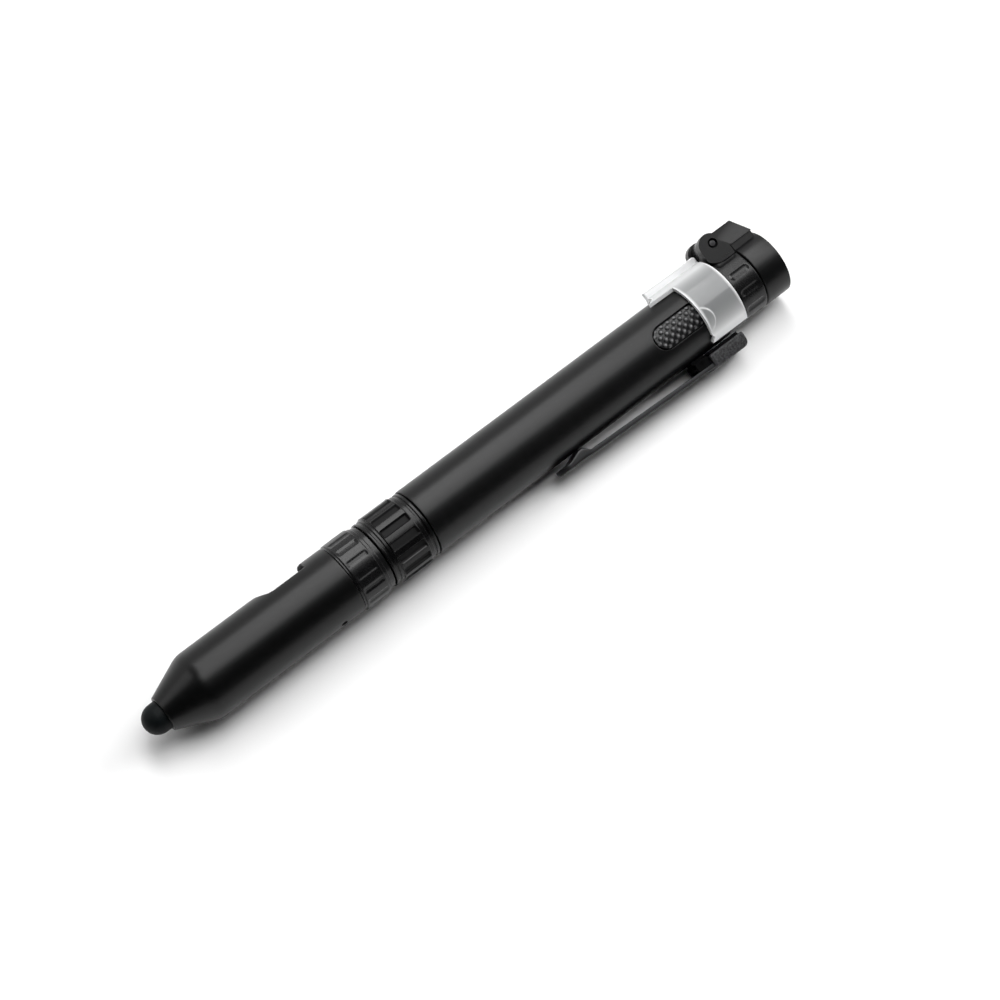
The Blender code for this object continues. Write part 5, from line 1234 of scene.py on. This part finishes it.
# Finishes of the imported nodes, by look
NODE_LOOKS = {
    "shaded_cap_anodised": "front_cap",
    "anodised": "barrel coupling_body pen_nose head_housing",
    "anodised_satin": "cap_grip_ring coupling_grip_ring button neck_collar head_bezel",
    "black_steel": "pocket_clip hinge_pin opener_stud",
    # painted shade: the bracket, spring and pin get the darker copy of the clip's steel
    "painted_shade_black": "clip_bracket clip_spring clip_pivot_pin",
    "steel": "screwdriver_bit socket_magnet cell_1 cell_2 cell_3 battery_spring refill_tube",
    "brass": "refill_point contact_plate",
    "rubber": "stylus_tip front_oring rear_oring",
    "inner_plastic": "stylus_holder refill_plug battery_partition switch_body switch_carrier",
    "board": "switch_board led_board",
    "mirror": "reflector",
    "phosphor": "led_chip",
    "lens_plastic": "head_lens",
    "guard_plastic": "switch_guard",
}


class PEN_OT_finish_nodes(bpy.types.Operator):
    """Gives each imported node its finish; those that a piece stands for keep it while hidden"""
    bl_idname = "pen.finish_nodes"
    bl_label = "Finish the packed pieces"

    def execute(self, context):
        for look, nodes in NODE_LOOKS.items():
            for node in nodes.split():
                item = frame["nodes"][node]
                if not item.material_slots:
                    item.data.materials.append(finishes()[look])
                for slot in item.material_slots:
                    slot.material = finishes()[look]
        return {"FINISHED"}


# Floor, light and camera

def aim(item, target, up):
    """Turns a lamp or camera so that its -Z looks at the target, with the given up direction."""
    back = (item.location - target).normalized()
    right = up.cross(back).normalized()
    true_up = back.cross(right)
    item.matrix_world = Matrix((
        (right.x, true_up.x, back.x, item.location.x), (right.y, true_up.y, back.y, item.location.y),
        (right.z, true_up.z, back.z, item.location.z), (0, 0, 0, 1)))


# Where the camera looks, in the pen's frame, how far away it is, on which side, and its upright
CAMERA_TARGET, CAMERA_DISTANCE = np.array((78.14, -5.73, 0.0)), 480.0
CAMERA_SIDE, CAMERA_UP = np.array((-0.2790, 0.0, 0.9603)), (0.5789, 0.7978, 0.1682)

# Name, tilt from the zenith away from the camera, half angle across the pen, lean along the pen, half angle
# along it (degrees, and the lean as a share), and brightness as a share of the key's
LAMPS = (("rear_box", 26.0, 17.5, 0.25, 11.0, 1.05), ("top_box", -4.0, 12.5, 0.27, 24.0, 0.68),
         ("left_box", 32.0, 14.0, -0.62, 12.0, 0.35), ("right_box", -12.0, 14.0, 0.85, 13.0, 1.1))


def soft_box(name, tilt, half_angle, lean, half_width, brightness):
    """A rectangular lamp that faces the pen, tilted from the zenith away from the camera by an angle in
    degrees; its size follows from the half angles that it fills, its power from its brightness."""
    tilt, distance = math.radians(tilt), 1.4
    across = math.sqrt(1 - lean ** 2)
    lamp = bpy.data.lights.new(name, "AREA")
    lamp.shape = "RECTANGLE"
    lamp.size = 2 * distance * math.tan(math.radians(half_width))
    lamp.size_y = 2 * distance * math.tan(math.radians(half_angle))
    lamp.energy = brightness * math.pi * lamp.size * lamp.size_y
    item = put(name, lamp)
    item.location = distance * Vector((lean, across * math.sin(tilt), across * math.cos(tilt)))
    aim(item, Vector((0, 0, 0)), Vector((0, math.cos(tilt), -math.sin(tilt))))


def far_white(material):
    """Lets the floor turn white towards the horizon for the camera: a smooth step of the distance from the
    pen, 0 at 0.3 m and 1 at 1 m, as an emission that lights nothing."""
    tree, shader = node_tree(material)
    distance = add(tree, "VectorMath", add(tree, "TexCoord", out="Object"), out="Value", _operation="LENGTH")
    fade = add(tree, "MapRange", _interpolation_type="SMOOTHSTEP", Value=distance, From_Min=0.3, From_Max=1.0)
    seen = add(tree, "Math", fade, add(tree, "LightPath", out="Is Camera Ray"), _operation="MULTIPLY")
    feed(tree, shader.inputs["Emission Color"], seen)
    shader.inputs["Emission Strength"].default_value = 1.0


class PEN_OT_stage(bpy.types.Operator):
    """Pale floor, four soft boxes, a sky that is dark in front, and the camera"""
    bl_idname = "pen.stage"
    bl_label = "Floor, light and camera"

    def execute(self, context):
        scene = context.scene
        stage = scene.pen_stage
        rings, angles = np.array([0.0, 0.2, 0.6, 1.5, 4.0, 12.0])[:, None], circle(96)
        points = np.stack([rings * np.cos(angles), rings * np.sin(angles), 0 * rings * angles], -1)
        mesh = welded("floor", *patch(points), outwards=False)
        floor = put("floor", mesh)
        paper = finish("paper_floor", stage.floor, 0.9, grain=400, mottle=3.0, spread=0.02, variation=0.004,
                       bump=0.02, Specular_IOR_Level=0.1)
        far_white(paper)
        mesh.materials.append(paper)
        for name, *shape, share in LAMPS:
            soft_box(name, *shape, stage.key * share)
        scene.world = studio(stage.sky)
        data = bpy.data.cameras.new("camera")
        data.sensor_width = 36.0
        data.lens = stage.lens
        data.clip_start, data.clip_end = 0.01, 50.0
        camera = put("camera", data)
        camera.location = Vector(place(CAMERA_TARGET + CAMERA_DISTANCE * CAMERA_SIDE))
        aim(camera, Vector(place(CAMERA_TARGET)), direction(CAMERA_UP))
        scene.camera = camera
        scene.view_settings.view_transform = "Standard"
        return {"FINISHED"}


def studio(brightness):
    """World that is dark in front of the pen and bright behind it: a smooth step of the direction's y; the
    camera itself sees white."""
    world = bpy.data.worlds.new("studio")
    world.use_nodes = True
    tree = world.node_tree
    ground = tree.nodes["Background"].inputs
    backwards = add(tree, "SeparateXYZ", add(tree, "TexCoord", out="Generated"), out="Y")
    sky = add(tree, "MapRange", _interpolation_type="SMOOTHSTEP", Value=backwards, From_Min=0.45,
              From_Max=0.8, To_Min=0.02, To_Max=brightness)
    feed(tree, ground["Color"], (1, 1, 1, 1))
    feed(tree, ground["Strength"], add(tree, "Mix", out="Result", A=sky, B=1.0,
                                       Factor=add(tree, "LightPath", out="Is Camera Ray")))
    return world


# Panel and registration

class PEN_PT_panel(bpy.types.Panel):
    """Lists the pieces in the order in which they are made"""
    bl_idname = "PEN_PT_panel"
    bl_label = "Multi tool pen"
    bl_space_type = "VIEW_3D"
    bl_region_type = "UI"
    bl_category = "Pen"

    def draw(self, context):
        for operator in OPERATORS:
            self.layout.operator(operator.bl_idname)
        for group in (context.scene.pen_sizes, context.scene.pen_colours, context.scene.pen_stage):
            for name in group.__annotations__:
                self.layout.prop(group, name)


OPERATORS = (PEN_OT_stylus, PEN_OT_front_cap, PEN_OT_opener_stud, PEN_OT_grip_rings, PEN_OT_seals,
             PEN_OT_coupling, PEN_OT_ball_pen, PEN_OT_driver_bit, PEN_OT_barrel, PEN_OT_button, PEN_OT_clip,
             PEN_OT_neck, PEN_OT_head, PEN_OT_torch, PEN_OT_guard, PEN_OT_finish_nodes, PEN_OT_stage)
CLASSES = (PenSizes, PenColours, PenStage) + OPERATORS + (PEN_PT_panel,)


def register():
    """Adds the classes and the settings that they read to Blender."""
    for item in CLASSES:
        bpy.utils.register_class(item)
    bpy.types.Scene.pen_sizes = bpy.props.PointerProperty(type=PenSizes)
    bpy.types.Scene.pen_colours = bpy.props.PointerProperty(type=PenColours)
    bpy.types.Scene.pen_stage = bpy.props.PointerProperty(type=PenStage)


def unregister():
    """Takes them out again, the last first."""
    for name in ("pen_stage", "pen_colours", "pen_sizes"):
        delattr(bpy.types.Scene, name)
    for item in reversed(CLASSES):
        bpy.utils.unregister_class(item)


def main():
    """Makes every piece, finish and lamp in order."""
    register()
    for operator in OPERATORS:
        family, name = operator.bl_idname.split(".")
        getattr(getattr(bpy.ops, family), name)()


if __name__ == "__main__":
    main()
